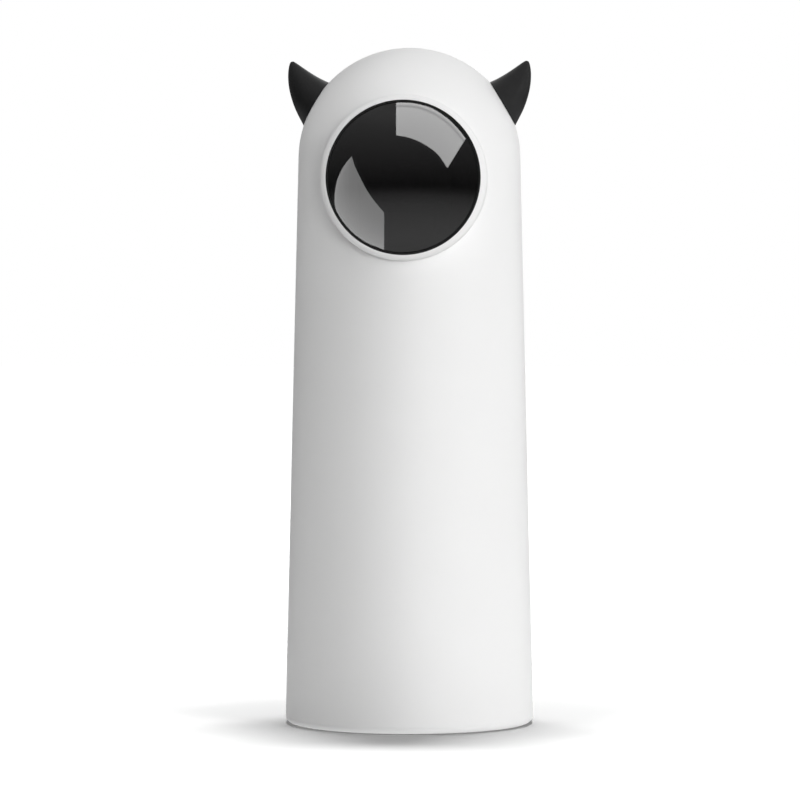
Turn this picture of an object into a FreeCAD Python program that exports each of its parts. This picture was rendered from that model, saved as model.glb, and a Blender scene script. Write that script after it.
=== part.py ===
import FreeCAD, Part
import math
import os

# Automatic cat laser toy: a white domed tower with two small horns. A laser head behind a round smoked
# window pans and tilts on two small geared motors and draws a moving dot on the floor.
# Millimetres. +Z is up, the window faces -Y, and the origin is the centre of the pad the toy stands on.

# ---------------------------------------------------------------- driving dimensions
# Body shell
BODY_HEIGHT = 165.6  # floor to the top of the dome
BASE_DIAMETER = 60.9  # over the shell's bottom edge
DOME_DIAMETER = 54.4  # of the sphere that closes the top
SHELL_WALL = 2.2
SHELL_EDGE_ROUND = 1.8  # outer bottom edge
FOOT_PROUD = 0.2  # how far the pad lifts the shell off the floor

# Round window in its ring
WINDOW_DROP = 5.5  # of the window's axis below the dome's centre
RING_DIAMETER = 39.6
RING_PROUD = 2.9  # ring's face ahead of the body just below the ring
RING_RIM = 1.35  # width of the ring's bare face
RING_LEAN_IN = 20.0  # degrees, how far the rounded face turns outwards beside the window
RING_LEAN_OUT = 65.0  # and at its outer edge
SPIGOT_STEP = 0.9  # the ring's shoulder on the body, all round its spigot
SPIGOT_WALL = 1.75
SPIGOT_TAIL = 0.8  # how far the spigot reaches past the shell's inner wall at its sides
SEAT_DEPTH = 1.8  # recess in the ring's face that takes gasket and window
GASKET_BASE = 0.5
GASKET_RIM = 0.45
GASKET_INSET = 0.15  # the gasket's rim below the ring's face
WINDOW_SAG = 6.5  # height of the window's dome
WINDOW_WALL = 1.5
WINDOW_FLANGE = 1.2
WINDOW_FLANGE_LIP = 0.2
BARB_WIDTH = 5.0
BARB_DEPTH = 1.5
BARB_PROUD = 0.55

# Horns
HORN_ELEVATION = 31.8  # degrees above the dome's equator
HORN_BASE_R = 6.0
HORN_LENGTH = 12.2  # along its curved axis
HORN_START = 44.2  # degrees, the axis's slope at the base
HORN_TURN = 27.0  # degrees that the axis turns towards the tip
HORN_SLENDER = 0.73  # exponent of the radius law: lower is blunter
STEM_R = 2.5
STEM_INSIDE = 3.0  # how far the stem reaches past the shell's inner wall
STEM_IN_HORN = 2.5
CLIP_R = 5.0
CLIP_THICKNESS = 1.2

# Base: pad, cover, chassis plate and the screws that hold them
PAD_THICKNESS = 1.4
PAD_R = 25.0
PAD_GROOVES = 3
PAD_GROOVE_PITCH = 5.0
PAD_GROOVE_DEPTH = 0.4
PAD_GROOVE_WIDTH = 1.0
COVER_RECESS = 0.4  # cover's underside above the shell's bottom edge
COVER_THICKNESS = 4.0
PLATE_THICKNESS = 2.0
BOSS_OFFSET = 14.5  # of each screw boss from the axis, along X and along Y
BOSS_R = 3.2
BOSS_HEIGHT = 14.0
BOSS_RIB = 1.6
BASE_SCREW_R = 1.15
BASE_SCREW_LENGTH = 10.0
BASE_HEAD_R = 2.1
BASE_HEAD_HEIGHT = 1.6
HEAD_WELL = 2.0

# Battery: one cylindrical lithium cell
CELL_DIAMETER = 18.4
CELL_LENGTH = 50.0
CELL_Y = -9.0
CELL_CAP_R = 4.2
CELL_CAP_HEIGHT = 0.8
CELL_PAD = 1.5  # foam under and over the cell
CRADLE_WALL = 1.6
CRADLE_HEIGHT = 8.0
CRADLE_INSET = 9.5  # of each cradle from the nearer end of the cell
LEAD_R = 0.6
LEAD_SPACING = 4.0

# Chassis
SPINE_HALF_WIDTH = 13.0
SPINE_Y = 2.0
SPINE_THICKNESS = 2.0
SPINE_SLOT_WIDTH = 8.0
SPINE_SLOT_HEIGHT = 10.0
DECK_THICKNESS = 2.0
POST_SIZE = 4.0
POST_X = 12.5
POST_FRONT_Y = -14.4
NOTCH_HALF_WIDTH = 4.2  # decks pass the shell's bosses through these

# Gears, all of one module
GEAR_MODULE = 0.5
PRESSURE_ANGLE = 25.0
BACKLASH = 0.12
PINION_TEETH = 12
PAN_TEETH = 36
TILT_TEETH = 48

# Pan drive and turntable
PAN_GEAR_THICKNESS = 2.2
PAN_PINION_THICKNESS = 1.8
PLATFORM_R = 16.0
PLATFORM_THICKNESS = 1.8
PIVOT_POST_R = 3.0
THRUST_WASHER = 0.5
THRUST_WASHER_R = 7.0
PIVOT_HEAD_R = 4.2
PIVOT_HEAD_HEIGHT = 1.4
PIVOT_SCREW_R = 1.0
PIVOT_SCREW_LENGTH = 4.2
HEAD_BEARING = 2.1  # height of the turntable's bore on its post
PAN_MOTOR_R = 12.0
PAN_MOTOR_HEIGHT = 19.0
PAN_MOTOR_OFFSET = 8.0  # of the output shaft from the can's centre
PAN_EAR_SPACING = 31.0
PAN_EAR_HALF_WIDTH = 3.2
PAN_SHAFT_R = 1.25
PAN_SHAFT_INSIDE = 6.0
MOTOR_PLATE = 0.8
MOTOR_BOSS_HEIGHT = 1.2
PAN_MOTOR_BOSS_R = 2.8
TERMINAL_WIDTH = 10.0
TERMINAL_HEIGHT = 8.0
TERMINAL_DEPTH = 2.0
MOTOR_WIRES = 5
MOTOR_WIRE_PITCH = 1.6
MOTOR_WIRE_R = 0.5
SMALL_SCREW_R = 1.0
SMALL_HEAD_R = 1.7
SMALL_HEAD_HEIGHT = 1.3
SMALL_SCREW_LENGTH = 4.0
EAR_BOSS_R = 2.6
EAR_BOSS_HEIGHT = 2.2

# Tilt drive and laser cradle
TILT_MOTOR_R = 7.5
TILT_MOTOR_LENGTH = 12.0
TILT_EAR_SPACING = 20.0
TILT_EAR_HALF_WIDTH = 2.5
TILT_SHAFT_R = 0.75
TILT_SHAFT_INSIDE = 5.0
TILT_MOTOR_BOSS_R = 2.0
TILT_GEAR_THICKNESS = 2.2
TILT_PINION_THICKNESS = 2.6
TILT_GEAR_X = 8.2  # inner face of the tilt gear
MOTOR_WALL_X = 6.2  # left face of the wall that the tilt motor is screwed to
MOTOR_WALL = 1.5
MOTOR_WALL_ABOVE = 3.2  # wall's height above the tilt motor's axis
UPRIGHT_X = 12.6
UPRIGHT_THICKNESS = 2.0
UPRIGHT_HALF_WIDTH = 5.0
PIN_R = 1.5
CRADLE_HALF_X = 6.5
CRADLE_HALF_Y = 6.0
CRADLE_HALF_Z = 5.0
LASER_R = 4.0
LASER_FRONT_Y = -12.0
LASER_LENGTH = 20.0
LASER_BORE_R = 2.8
LASER_LENS_THICKNESS = 2.0
LASER_LENS_RECESS = 0.6
LASER_DIODE_LENGTH = 5.8
LASER_BOARD_THICKNESS = 1.0
TILT_DOWN = 28.0  # degrees that the laser can point down
TILT_UP = 5.0
SECTOR_MARGIN = 13.0
SECTOR_HUB_R = 4.5
PEG_R = 0.8
PEG_OFFSET = 3.0

# Rear controls: button, switch, status light, boards
BUTTON_DROP = 44.3  # of the button below the window's axis
BUTTON_R = 5.3
BUTTON_GAP = 0.2
BUTTON_PROUD = 0.6
BUTTON_ROUND = 0.5
BUTTON_FLANGE = 1.2
BUTTON_FLANGE_R = 6.6
BUTTON_STEM_R = 2.2
BUTTON_STEM = 1.0
BUTTON_TRAVEL = 0.5
SWITCH_SIZE = 6.0
SWITCH_HEIGHT = 3.8
PLUNGER_R = 1.7
PLUNGER_PROUD = 1.6
PLUNGER_INSIDE = 1.2
LIGHT_RISE = 9.5  # of the status light above the button
LIGHT_R = 1.2
LIGHT_COLLAR_R = 2.0
LIGHT_COLLAR = 1.0
LED_HEIGHT = 1.7
LED_HALF = 1.4
BOARD_THICKNESS = 1.2
BOARD_HALF_WIDTH = 14.5
BOARD_FOOT_GAP = 2.8  # main board's lower edge above the screw bosses
BOARD_TOP_GAP = 3.5  # main board's upper edge below the top deck
BOARD_SCREW_LOW = 6.0  # lower screws above the board's lower edge
BOARD_SCREW_HIGH = 7.5  # upper screws below the board's upper edge
BOARD_SCREW_LENGTH = 5.0
CHIP_SIZE = 7.0
CHIP_HEIGHT = 1.2
CHIP_RISE = 31.0  # of each part's middle above the board's lower edge
SOCKET_HEIGHT = 4.4
SOCKET_DEPTH = 4.5
SOCKET_WALL = 0.8
BATTERY_SOCKET_WIDTH = 9.0
BATTERY_SOCKET_RISE = 20.5
HEAD_SOCKET_WIDTH = 12.0
HEAD_SOCKET_RISE = 12.0
CAPACITOR_R = 2.5
CAPACITOR_HEIGHT = 5.4
CAPACITOR_X = 8.0
CAPACITOR_RISE = 41.0
CHARGE_BOARD_Z = 10.2
CHARGE_BOARD_THICKNESS = 1.0
CHARGE_BOARD_HALF_WIDTH = 9.0
CHARGE_POST_X = 6.5
CHARGE_POST_R = 2.0
CHARGE_POST_FRONT_Y = 9.5
CHARGE_POST_REAR_Y = 19.5
USB_WIDTH = 8.94
USB_HEIGHT = 3.26
USB_DEPTH = 7.3
USB_METAL = 0.3
USB_TONGUE_WIDTH = 6.7
USB_TONGUE_THICKNESS = 0.7
USB_OVERHANG = 1.5
PORT_WIDTH = 12.6
PORT_HEIGHT = 7.0
PORT_CORNER = 1.5
LINK_PINS_PER_SIDE = 2
LINK_PITCH = 2.0
LINK_PIN = 0.5
LINK_OVERLAP = 4.0
LINK_GAP = 1.25  # beside the USB socket

# Clearances
SLIDE_FIT = 0.4  # chassis and cover inside the shell
HOLE_FIT = 0.1  # pieces that pass through the shell
STATIC_FIT = 0.02  # pressed or glued round pieces
RUNNING_FIT = 0.05  # shafts and pivots that turn
SURFACE_GAP = 0.05  # curved faces that seat on the shell
SIDE_PLAY = 0.1  # flat faces that turn past each other

# ---------------------------------------------------------------- sizes that follow
AXIS_X = FreeCAD.Vector(1, 0, 0)
AXIS_Y = FreeCAD.Vector(0, 1, 0)
AXIS_Z = FreeCAD.Vector(0, 0, 1)
SHELL_Z = FOOT_PROUD
BASE_R = BASE_DIAMETER / 2
DOME_R = DOME_DIAMETER / 2
DOME_Z = BODY_HEIGHT - DOME_R
WINDOW_Z = DOME_Z - WINDOW_DROP
BUTTON_Z = WINDOW_Z - BUTTON_DROP
LIGHT_Z = BUTTON_Z + LIGHT_RISE
TAPER = math.acos(DOME_R / math.hypot(BASE_R, DOME_Z - SHELL_Z)) - math.atan2(DOME_Z - SHELL_Z, BASE_R)


def vec(x, y, z):
    return FreeCAD.Vector(x, y, z)


def side_radius(z, inset=0.0):
    """Radius of the body's outer face at height z, moved in by inset square to the wall."""
    sphere = DOME_R - inset
    if z > DOME_Z + sphere * math.sin(TAPER):
        return math.sqrt(sphere**2 - (z - DOME_Z) ** 2)
    return BASE_R - (z - SHELL_Z) * math.tan(TAPER) - inset / math.cos(TAPER)


def chord_y(z, half_width, inset=0.0):
    """How far out a flat piece of that half width reaches inside the body's face at height z."""
    return math.sqrt(side_radius(z, inset) ** 2 - half_width**2)


COVER_Z0 = SHELL_Z + COVER_RECESS
COVER_Z1 = COVER_Z0 + COVER_THICKNESS
PLATE_Z1 = COVER_Z1 + PLATE_THICKNESS
CELL_R = CELL_DIAMETER / 2
CELL_Z0 = PLATE_Z1 + CELL_PAD
CELL_Z1 = CELL_Z0 + CELL_LENGTH
MID_DECK_Z0 = CELL_Z1 + CELL_CAP_HEIGHT + CELL_PAD
MID_DECK_Z1 = MID_DECK_Z0 + DECK_THICKNESS

RING_R = RING_DIAMETER / 2
SPIGOT_R = RING_R - SPIGOT_STEP
SPIGOT_BORE = SPIGOT_R - SPIGOT_WALL
SEAT_R = RING_R - RING_RIM
RING_Y = -(side_radius(WINDOW_Z - RING_R) + RING_PROUD)
SEAT_Y = RING_Y + SEAT_DEPTH
RING_BACK_Y = -chord_y(WINDOW_Z, SPIGOT_R, SHELL_WALL) + SPIGOT_TAIL
FLANGE_R = SEAT_R - GASKET_RIM - RUNNING_FIT
WINDOW_R = FLANGE_R - WINDOW_FLANGE_LIP
FLANGE_BACK_Y = SEAT_Y - GASKET_BASE
FLANGE_Y = FLANGE_BACK_Y - WINDOW_FLANGE
WINDOW_SPHERE = (WINDOW_R**2 + WINDOW_SAG**2) / (2 * WINDOW_SAG)
WINDOW_CENTRE_Y = FLANGE_Y - WINDOW_SAG + WINDOW_SPHERE

PIVOT_Z = WINDOW_Z
PINION_PITCH_R = GEAR_MODULE * PINION_TEETH / 2
PAN_CENTRES = GEAR_MODULE * (PAN_TEETH + PINION_TEETH) / 2
TILT_CENTRES = GEAR_MODULE * (TILT_TEETH + PINION_TEETH) / 2
TILT_MOTOR_Z = PIVOT_Z - TILT_CENTRES
PLATFORM_Z1 = TILT_MOTOR_Z - TILT_MOTOR_R - 2 * SIDE_PLAY
PLATFORM_Z0 = PLATFORM_Z1 - PLATFORM_THICKNESS
PAN_GEAR_Z0 = PLATFORM_Z0 - PAN_GEAR_THICKNESS
DECK_Z1 = PAN_GEAR_Z0 - SIDE_PLAY - THRUST_WASHER
DECK_Z0 = DECK_Z1 - DECK_THICKNESS
POST_TOP = PAN_GEAR_Z0 + HEAD_BEARING
PAN_SHAFT_X = -PAN_CENTRES
PAN_MOTOR_X = PAN_SHAFT_X + PAN_MOTOR_OFFSET

BUTTON_FLANGE_Y = chord_y(BUTTON_Z + BUTTON_FLANGE_R, BUTTON_FLANGE_R, SHELL_WALL) - SIDE_PLAY
BUTTON_STEM_Y = BUTTON_FLANGE_Y - BUTTON_FLANGE - BUTTON_STEM
SWITCH_Y = BUTTON_STEM_Y - PLUNGER_PROUD
BOARD_BACK_Y = SWITCH_Y - SWITCH_HEIGHT
BOARD_Y = BOARD_BACK_Y - BOARD_THICKNESS
POST_REAR_Y = BOARD_Y - POST_SIZE / 2
BOARD_Z0 = PLATE_Z1 + BOSS_HEIGHT + BOARD_FOOT_GAP
BOARD_Z1 = DECK_Z0 - BOARD_TOP_GAP
BOARD_SCREW_LOW_Z = BOARD_Z0 + BOARD_SCREW_LOW
BOARD_SCREW_HIGH_Z = BOARD_Z1 - BOARD_SCREW_HIGH

CHARGE_TOP = CHARGE_BOARD_Z + CHARGE_BOARD_THICKNESS
USB_Z = CHARGE_TOP + USB_HEIGHT / 2
USB_MOUTH_Y = chord_y(USB_Z, USB_WIDTH / 2, SHELL_WALL) - SLIDE_FIT
CHARGE_BOARD_Y0 = SPINE_Y + SPINE_THICKNESS + SLIDE_FIT
CHARGE_BOARD_Y1 = USB_MOUTH_Y - USB_OVERHANG

BARREL_BACK_Y = LASER_FRONT_Y + LASER_LENGTH
UPRIGHT_OUTER_X = UPRIGHT_X + UPRIGHT_THICKNESS
BOSSES = [(sx * BOSS_OFFSET, sy * BOSS_OFFSET) for sx in (-1, 1) for sy in (-1, 1)]


# ---------------------------------------------------------------- shapes used by many pieces
def cyl(radius, z0, z1, x=0.0, y=0.0):
    return Part.makeCylinder(radius, z1 - z0, vec(x, y, z0), AXIS_Z)


def cyl_x(radius, x0, x1, y, z):
    return Part.makeCylinder(radius, x1 - x0, vec(x0, y, z), AXIS_X)


def cyl_y(radius, y0, y1, x, z):
    return Part.makeCylinder(radius, y1 - y0, vec(x, y0, z), AXIS_Y)


def box(x0, x1, y0, y1, z0, z1):
    return Part.makeBox(x1 - x0, y1 - y0, z1 - z0, vec(x0, y0, z0))


def joined(first, *others):
    return first.fuse(list(others)).removeSplitter()


def line(a, b):
    return Part.LineSegment(a, b).toShape()


def arc(a, middle, b):
    return Part.Arc(a, middle, b).toShape()


def turned(edges, centre, axis):
    """Solid made by turning a closed outline about an axis."""
    return Part.Face(Part.Wire(edges)).revolve(centre, axis, 360)


def rounded_plate_y(width, height, corner, y0, y1, z):
    """Upright block with rounded corners, centred on x = 0 and height z, from y0 to y1."""
    block = box(-width / 2, width / 2, y0, y1, z - height / 2, z + height / 2)
    along = [e for e in block.Edges if abs(e.tangentAt(e.FirstParameter).y) > 0.9]
    return block.makeFillet(corner, along)


def pan_head_screw(radius, length, head_r, head_height):
    """Screw pointing up +Z with its head's seat at z = 0 and a cross recess in the head."""
    body = joined(cyl(radius, 0, length), cyl(head_r, -head_height, 0))
    arm = head_r * 0.62
    slot = head_r * 0.13
    depth = head_height * 0.55
    cross = joined(
        box(-arm, arm, -slot, slot, -head_height, depth - head_height),
        box(-slot, slot, -arm, arm, -head_height, depth - head_height),
    )
    return body.cut(cross)


def placed(shape, position, direction):
    """The shape, which was made along +Z at the origin, moved and turned along direction."""
    copy = shape.copy()
    copy.Placement = FreeCAD.Placement(position, FreeCAD.Rotation(AXIS_Z, direction))
    return copy


def involute_gear(teeth, z0, z1, turn=0.0):
    """Spur gear about the Z axis, with a tooth centred at the angle turn, in degrees."""
    pitch_r = GEAR_MODULE * teeth / 2
    pressure = math.radians(PRESSURE_ANGLE)
    base_r = pitch_r * math.cos(pressure)
    tip_r = pitch_r + GEAR_MODULE
    root_r = pitch_r - 1.25 * GEAR_MODULE
    half_tooth = math.pi / (2 * teeth) - BACKLASH / (4 * pitch_r)
    at_pitch = math.tan(pressure) - pressure
    start_r = max(base_r, root_r)
    steps = 5
    flank = []
    for i in range(steps + 1):
        r = start_r + (tip_r - start_r) * i / steps
        roll = math.acos(min(1.0, base_r / r))
        flank.append((r, half_tooth + at_pitch - (math.tan(roll) - roll)))
    if start_r > root_r:
        flank.insert(0, (root_r, flank[0][1]))
    edges = []
    outline = []
    for tooth in range(teeth):
        centre = math.radians(turn) + 2 * math.pi * tooth / teeth
        outline += [(r, centre - a) for r, a in flank]
        outline += [(r, centre + a) for r, a in reversed(flank)]
    points = [vec(r * math.cos(a), r * math.sin(a), z0) for r, a in outline]
    for a, b in zip(points, points[1:] + points[:1]):
        edges.append(line(a, b))
    return Part.Face(Part.Wire(edges)).extrude(vec(0, 0, z1 - z0))


def domed_body(inset, bottom_z, edge_round=0.0):
    """Solid within the body's outer face moved in by inset, from bottom_z up."""
    sphere = DOME_R - inset
    half_way = (TAPER + math.pi / 2) / 2
    touch = vec(sphere * math.cos(TAPER), 0, DOME_Z + sphere * math.sin(TAPER))
    shoulder = vec(sphere * math.cos(half_way), 0, DOME_Z + sphere * math.sin(half_way))
    top = vec(0, 0, DOME_Z + sphere)
    centre = vec(0, 0, bottom_z)
    foot = vec(side_radius(bottom_z, inset), 0, bottom_z)
    edges = [line(foot, touch), arc(touch, shoulder, top), line(top, centre), line(centre, foot)]
    if edge_round:
        side = vec(side_radius(bottom_z + edge_round, inset), 0, bottom_z + edge_round)
        under = vec(foot.x - edge_round, 0, bottom_z)
        inward = edge_round * (1 - math.sqrt(0.5))
        corner = vec(foot.x - inward, 0, bottom_z + inward)
        edges = [
            arc(under, corner, side),
            line(side, touch),
            arc(touch, shoulder, top),
            line(top, centre),
            line(centre, under),
        ]
    return turned(edges, vec(0, 0, 0), AXIS_Z)


def window_ring(outer_r, inner_r, y0, y1):
    """Tube along the window's axis."""
    return cyl_y(outer_r, y0, y1, 0, WINDOW_Z).cut(cyl_y(inner_r, y0 - 1, y1 + 1, 0, WINDOW_Z))


# ---------------------------------------------------------------- body shell
def screw_bosses():
    """Four screw bosses inside the shell, each tied to the wall by a rib."""
    top = PLATE_Z1 + BOSS_HEIGHT
    inside = domed_body(SHELL_WALL / 2, SHELL_Z)
    parts = []
    for x, y in BOSSES:
        outward = math.degrees(math.atan2(y, x))
        distance = math.hypot(x, y)
        rib = box(distance, BASE_R, -BOSS_RIB / 2, BOSS_RIB / 2, PLATE_Z1, top)
        rib.rotate(vec(0, 0, 0), AXIS_Z, outward)
        boss = joined(cyl(BOSS_R, PLATE_Z1, top, x, y), rib.common(inside))
        pilot = cyl(BASE_SCREW_R + STATIC_FIT, PLATE_Z1 - 1, top - 2, x, y)
        parts.append(boss.cut(pilot))
    return parts


def horn_direction(side):
    slope = math.radians(HORN_ELEVATION)
    return vec(side * math.cos(slope), 0, math.sin(slope))


def make_body_shell():
    outer = domed_body(0.0, SHELL_Z, SHELL_EDGE_ROUND)
    hollow = domed_body(SHELL_WALL, SHELL_Z)
    shell = outer.cut(hollow)
    shell = joined(shell, *screw_bosses())
    cuts = [
        cyl_y(SPIGOT_R + HOLE_FIT, -2 * BASE_R, 0, 0, WINDOW_Z),
        cyl_y(BUTTON_R + BUTTON_GAP, BOARD_BACK_Y, 2 * BASE_R, 0, BUTTON_Z),
        cyl_y(LIGHT_R + HOLE_FIT, BOARD_BACK_Y, 2 * BASE_R, 0, LIGHT_Z),
        rounded_plate_y(PORT_WIDTH, PORT_HEIGHT, PORT_CORNER, USB_MOUTH_Y - 5, 2 * BASE_R, USB_Z),
    ]
    for side in (-1, 1):
        start = vec(0, 0, DOME_Z) + horn_direction(side) * (DOME_R - SHELL_WALL - 2)
        cuts.append(Part.makeCylinder(STEM_R + HOLE_FIT, SHELL_WALL + 4, start, horn_direction(side)))
    return shell.cut(cuts)


# ---------------------------------------------------------------- window
def make_window_ring():
    """Ring with a saddle shoulder on the body, a spigot through the shell, and two snap barbs."""
    lean_in, lean_out = math.radians(RING_LEAN_IN), math.radians(RING_LEAN_OUT)
    bead = RING_RIM / (math.sin(lean_out) - math.sin(lean_in))

    def on_face(lean):
        out = SEAT_R + bead * (math.sin(lean) - math.sin(lean_in))
        return vec(out, RING_Y + bead * (math.cos(lean_in) - math.cos(lean)), WINDOW_Z)

    middle, front = vec(0, RING_Y, WINDOW_Z), on_face(lean_in)
    middle_back, back = vec(0, RING_BACK_Y, WINDOW_Z), vec(RING_R, RING_BACK_Y, WINDOW_Z)
    edges = [
        line(middle, front),
        arc(front, on_face((lean_in + lean_out) / 2), on_face(lean_out)),
        line(on_face(lean_out), back),
        line(back, middle_back),
        line(middle_back, middle),
    ]
    collar = turned(edges, vec(0, 0, WINDOW_Z), AXIS_Y).cut(domed_body(-SURFACE_GAP, SHELL_Z))
    spigot = cyl_y(SPIGOT_R, SEAT_Y, RING_BACK_Y, 0, WINDOW_Z)
    ring = joined(collar, spigot)
    for side in (-1, 1):
        z = WINDOW_Z + side * SPIGOT_R
        wall_z = WINDOW_Z + side * (SPIGOT_R + BARB_PROUD)
        y = -min(chord_y(at, BARB_WIDTH / 2, SHELL_WALL) for at in (z, wall_z)) + SIDE_PLAY
        low, high = sorted((z - side * SPIGOT_WALL / 2, wall_z))
        ring = joined(ring, box(-BARB_WIDTH / 2, BARB_WIDTH / 2, y, y + BARB_DEPTH, low, high))
    ring = ring.cut(cyl_y(SPIGOT_BORE, RING_Y - 1, RING_BACK_Y + 1, 0, WINDOW_Z))
    return ring.cut(cyl_y(SEAT_R, RING_Y - 1, SEAT_Y, 0, WINDOW_Z))


def make_window_gasket():
    outer = SEAT_R - STATIC_FIT
    base = window_ring(outer, SPIGOT_BORE, FLANGE_BACK_Y, SEAT_Y)
    upstand = window_ring(outer, SEAT_R - GASKET_RIM, RING_Y + GASKET_INSET, FLANGE_BACK_Y)
    return joined(base, upstand)


def make_window():
    """Smoked dome with a flange, turned about the window's axis."""
    centre = WINDOW_CENTRE_Y
    inner = WINDOW_SPHERE - WINDOW_WALL
    inner_r = math.sqrt(inner**2 - (centre - FLANGE_BACK_Y) ** 2)

    def on_arc(radius, at_r):
        return vec(at_r, centre - math.sqrt(radius**2 - at_r**2), WINDOW_Z)

    edges = [
        arc(vec(0, centre - WINDOW_SPHERE, WINDOW_Z), on_arc(WINDOW_SPHERE, WINDOW_R / 2), vec(WINDOW_R, FLANGE_Y, WINDOW_Z)),
        line(vec(WINDOW_R, FLANGE_Y, WINDOW_Z), vec(FLANGE_R, FLANGE_Y, WINDOW_Z)),
        line(vec(FLANGE_R, FLANGE_Y, WINDOW_Z), vec(FLANGE_R, FLANGE_BACK_Y, WINDOW_Z)),
        line(vec(FLANGE_R, FLANGE_BACK_Y, WINDOW_Z), vec(inner_r, FLANGE_BACK_Y, WINDOW_Z)),
        arc(vec(inner_r, FLANGE_BACK_Y, WINDOW_Z), on_arc(inner, inner_r / 2), vec(0, centre - inner, WINDOW_Z)),
        line(vec(0, centre - inner, WINDOW_Z), vec(0, centre - WINDOW_SPHERE, WINDOW_Z)),
    ]
    return turned(edges, vec(0, 0, WINDOW_Z), AXIS_Y)


# ---------------------------------------------------------------- horns
def horn_axis(share):
    """Point and direction on the right horn's curved axis, in X and Z. share runs 0 at the base to 1."""
    slope = math.radians(HORN_ELEVATION)
    base = math.sqrt(DOME_R**2 - HORN_BASE_R**2)
    x, z = base * math.cos(slope), DOME_Z + base * math.sin(slope)
    start = math.radians(HORN_START)
    turn = math.radians(HORN_TURN)
    angle = start + turn * max(share, 0.0)
    if share <= 0:
        x += share * HORN_LENGTH * math.cos(start)
        z += share * HORN_LENGTH * math.sin(start)
    else:
        x += HORN_LENGTH / turn * (math.sin(angle) - math.sin(start))
        z -= HORN_LENGTH / turn * (math.cos(angle) - math.cos(start))
    return vec(x, 0, z), vec(math.cos(angle), 0, math.sin(angle))


def horn_radius(share):
    return HORN_BASE_R * (1 - share) ** HORN_SLENDER


def make_horn(side):
    """Curved tapering horn, seated on the dome, with a stem that goes through the shell."""
    last = 0.96
    shares = [-0.14, 0.02, 0.18, 0.34, 0.5, 0.65, 0.78, 0.89, last]
    rings = [Part.Wire(Part.makeCircle(horn_radius(s), *horn_axis(s))) for s in shares]
    horn = Part.makeLoft(rings, True, False)
    # The tip is a ball tangent to the taper at the last ring.
    point, along = horn_axis(last)
    slope = HORN_BASE_R * HORN_SLENDER * (1 - last) ** (HORN_SLENDER - 1) / HORN_LENGTH
    tip_r = horn_radius(last) * math.sqrt(1 + slope**2)
    ball = Part.makeSphere(tip_r, point - along * (horn_radius(last) * slope))
    tip = ball.common(Part.makeCylinder(2 * tip_r, 2 * tip_r, point, along))
    horn = horn.fuse(tip).cut(domed_body(-SURFACE_GAP, SHELL_Z))
    direction = horn_direction(1)
    inner = DOME_R - SHELL_WALL - STEM_INSIDE
    stem = Part.makeCylinder(STEM_R, DOME_R + STEM_IN_HORN - inner, vec(0, 0, DOME_Z) + direction * inner, direction)
    horn = horn.fuse(stem)
    if side < 0:
        horn = horn.mirror(vec(0, 0, 0), AXIS_X)
    return horn


def make_horn_clips():
    """Push-on clips that hold both horn stems from inside the dome."""
    ball = Part.makeSphere(DOME_R - SHELL_WALL - SURFACE_GAP, vec(0, 0, DOME_Z))
    clips = []
    for side in (-1, 1):
        direction = horn_direction(side)
        start = vec(0, 0, DOME_Z) + direction * (DOME_R - SHELL_WALL - CLIP_THICKNESS)
        disc = Part.makeCylinder(CLIP_R, 2 * CLIP_THICKNESS, start, direction)
        bore = Part.makeCylinder(STEM_R + STATIC_FIT, 4 * CLIP_THICKNESS, start - direction, direction)
        clips.append(disc.cut(bore).common(ball))
    return clips


# ---------------------------------------------------------------- base
def make_base_cover():
    outer = side_radius(COVER_Z1, SHELL_WALL) - SLIDE_FIT
    cover = cyl(outer, COVER_Z0, COVER_Z1).cut(cyl(PAD_R + HOLE_FIT, COVER_Z0 - 1, PAD_THICKNESS))
    for x, y in BOSSES:
        cover = cover.cut(cyl(BASE_HEAD_R + HOLE_FIT, COVER_Z0, PAD_THICKNESS + HEAD_WELL, x, y))
        cover = cover.cut(cyl(BASE_SCREW_R + HOLE_FIT, COVER_Z0, COVER_Z1 + 1, x, y))
    return cover


def make_foot_pad():
    pad = cyl(PAD_R, 0, PAD_THICKNESS)
    for i in range(PAD_GROOVES):
        outer = PAD_R - PAD_GROOVE_PITCH * (i + 0.5)
        groove = cyl(outer, -1, PAD_GROOVE_DEPTH).cut(cyl(outer - PAD_GROOVE_WIDTH, -2, PAD_THICKNESS))
        pad = pad.cut(groove)
    return pad


def make_base_screws():
    screw = pan_head_screw(BASE_SCREW_R, BASE_SCREW_LENGTH, BASE_HEAD_R, BASE_HEAD_HEIGHT)
    return [placed(screw, vec(x, y, PAD_THICKNESS + HEAD_WELL), AXIS_Z) for x, y in BOSSES]


# ---------------------------------------------------------------- chassis
def deck(z0, z1):
    """Round deck that slides up inside the shell, notched to pass the screw bosses."""
    plate = cyl(side_radius(z1, SHELL_WALL) - SLIDE_FIT, z0, z1)
    inner = math.hypot(BOSS_OFFSET, BOSS_OFFSET) - NOTCH_HALF_WIDTH
    for x, y in BOSSES:
        notch = box(inner, 2 * BASE_R, -NOTCH_HALF_WIDTH, NOTCH_HALF_WIDTH, z0 - 1, z1 + 1)
        notch.rotate(vec(0, 0, 0), AXIS_Z, math.degrees(math.atan2(y, x)))
        plate = plate.cut(notch)
    return plate


def cell_cradles():
    """Two half-round cheeks that hold the cell against the spine."""
    half = CELL_R + SIDE_PLAY + CRADLE_WALL
    bottoms = (CELL_Z0 + CRADLE_INSET, CELL_Z1 - CRADLE_INSET - CRADLE_HEIGHT)
    return [box(-half, half, CELL_Y, SPINE_Y + SPINE_THICKNESS, z0, z0 + CRADLE_HEIGHT) for z0 in bottoms]


def charge_posts():
    rows = (CHARGE_POST_FRONT_Y, CHARGE_POST_REAR_Y)
    return [cyl(CHARGE_POST_R, PLATE_Z1 - 1, CHARGE_BOARD_Z, sx * CHARGE_POST_X, y) for sx in (-1, 1) for y in rows]


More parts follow.
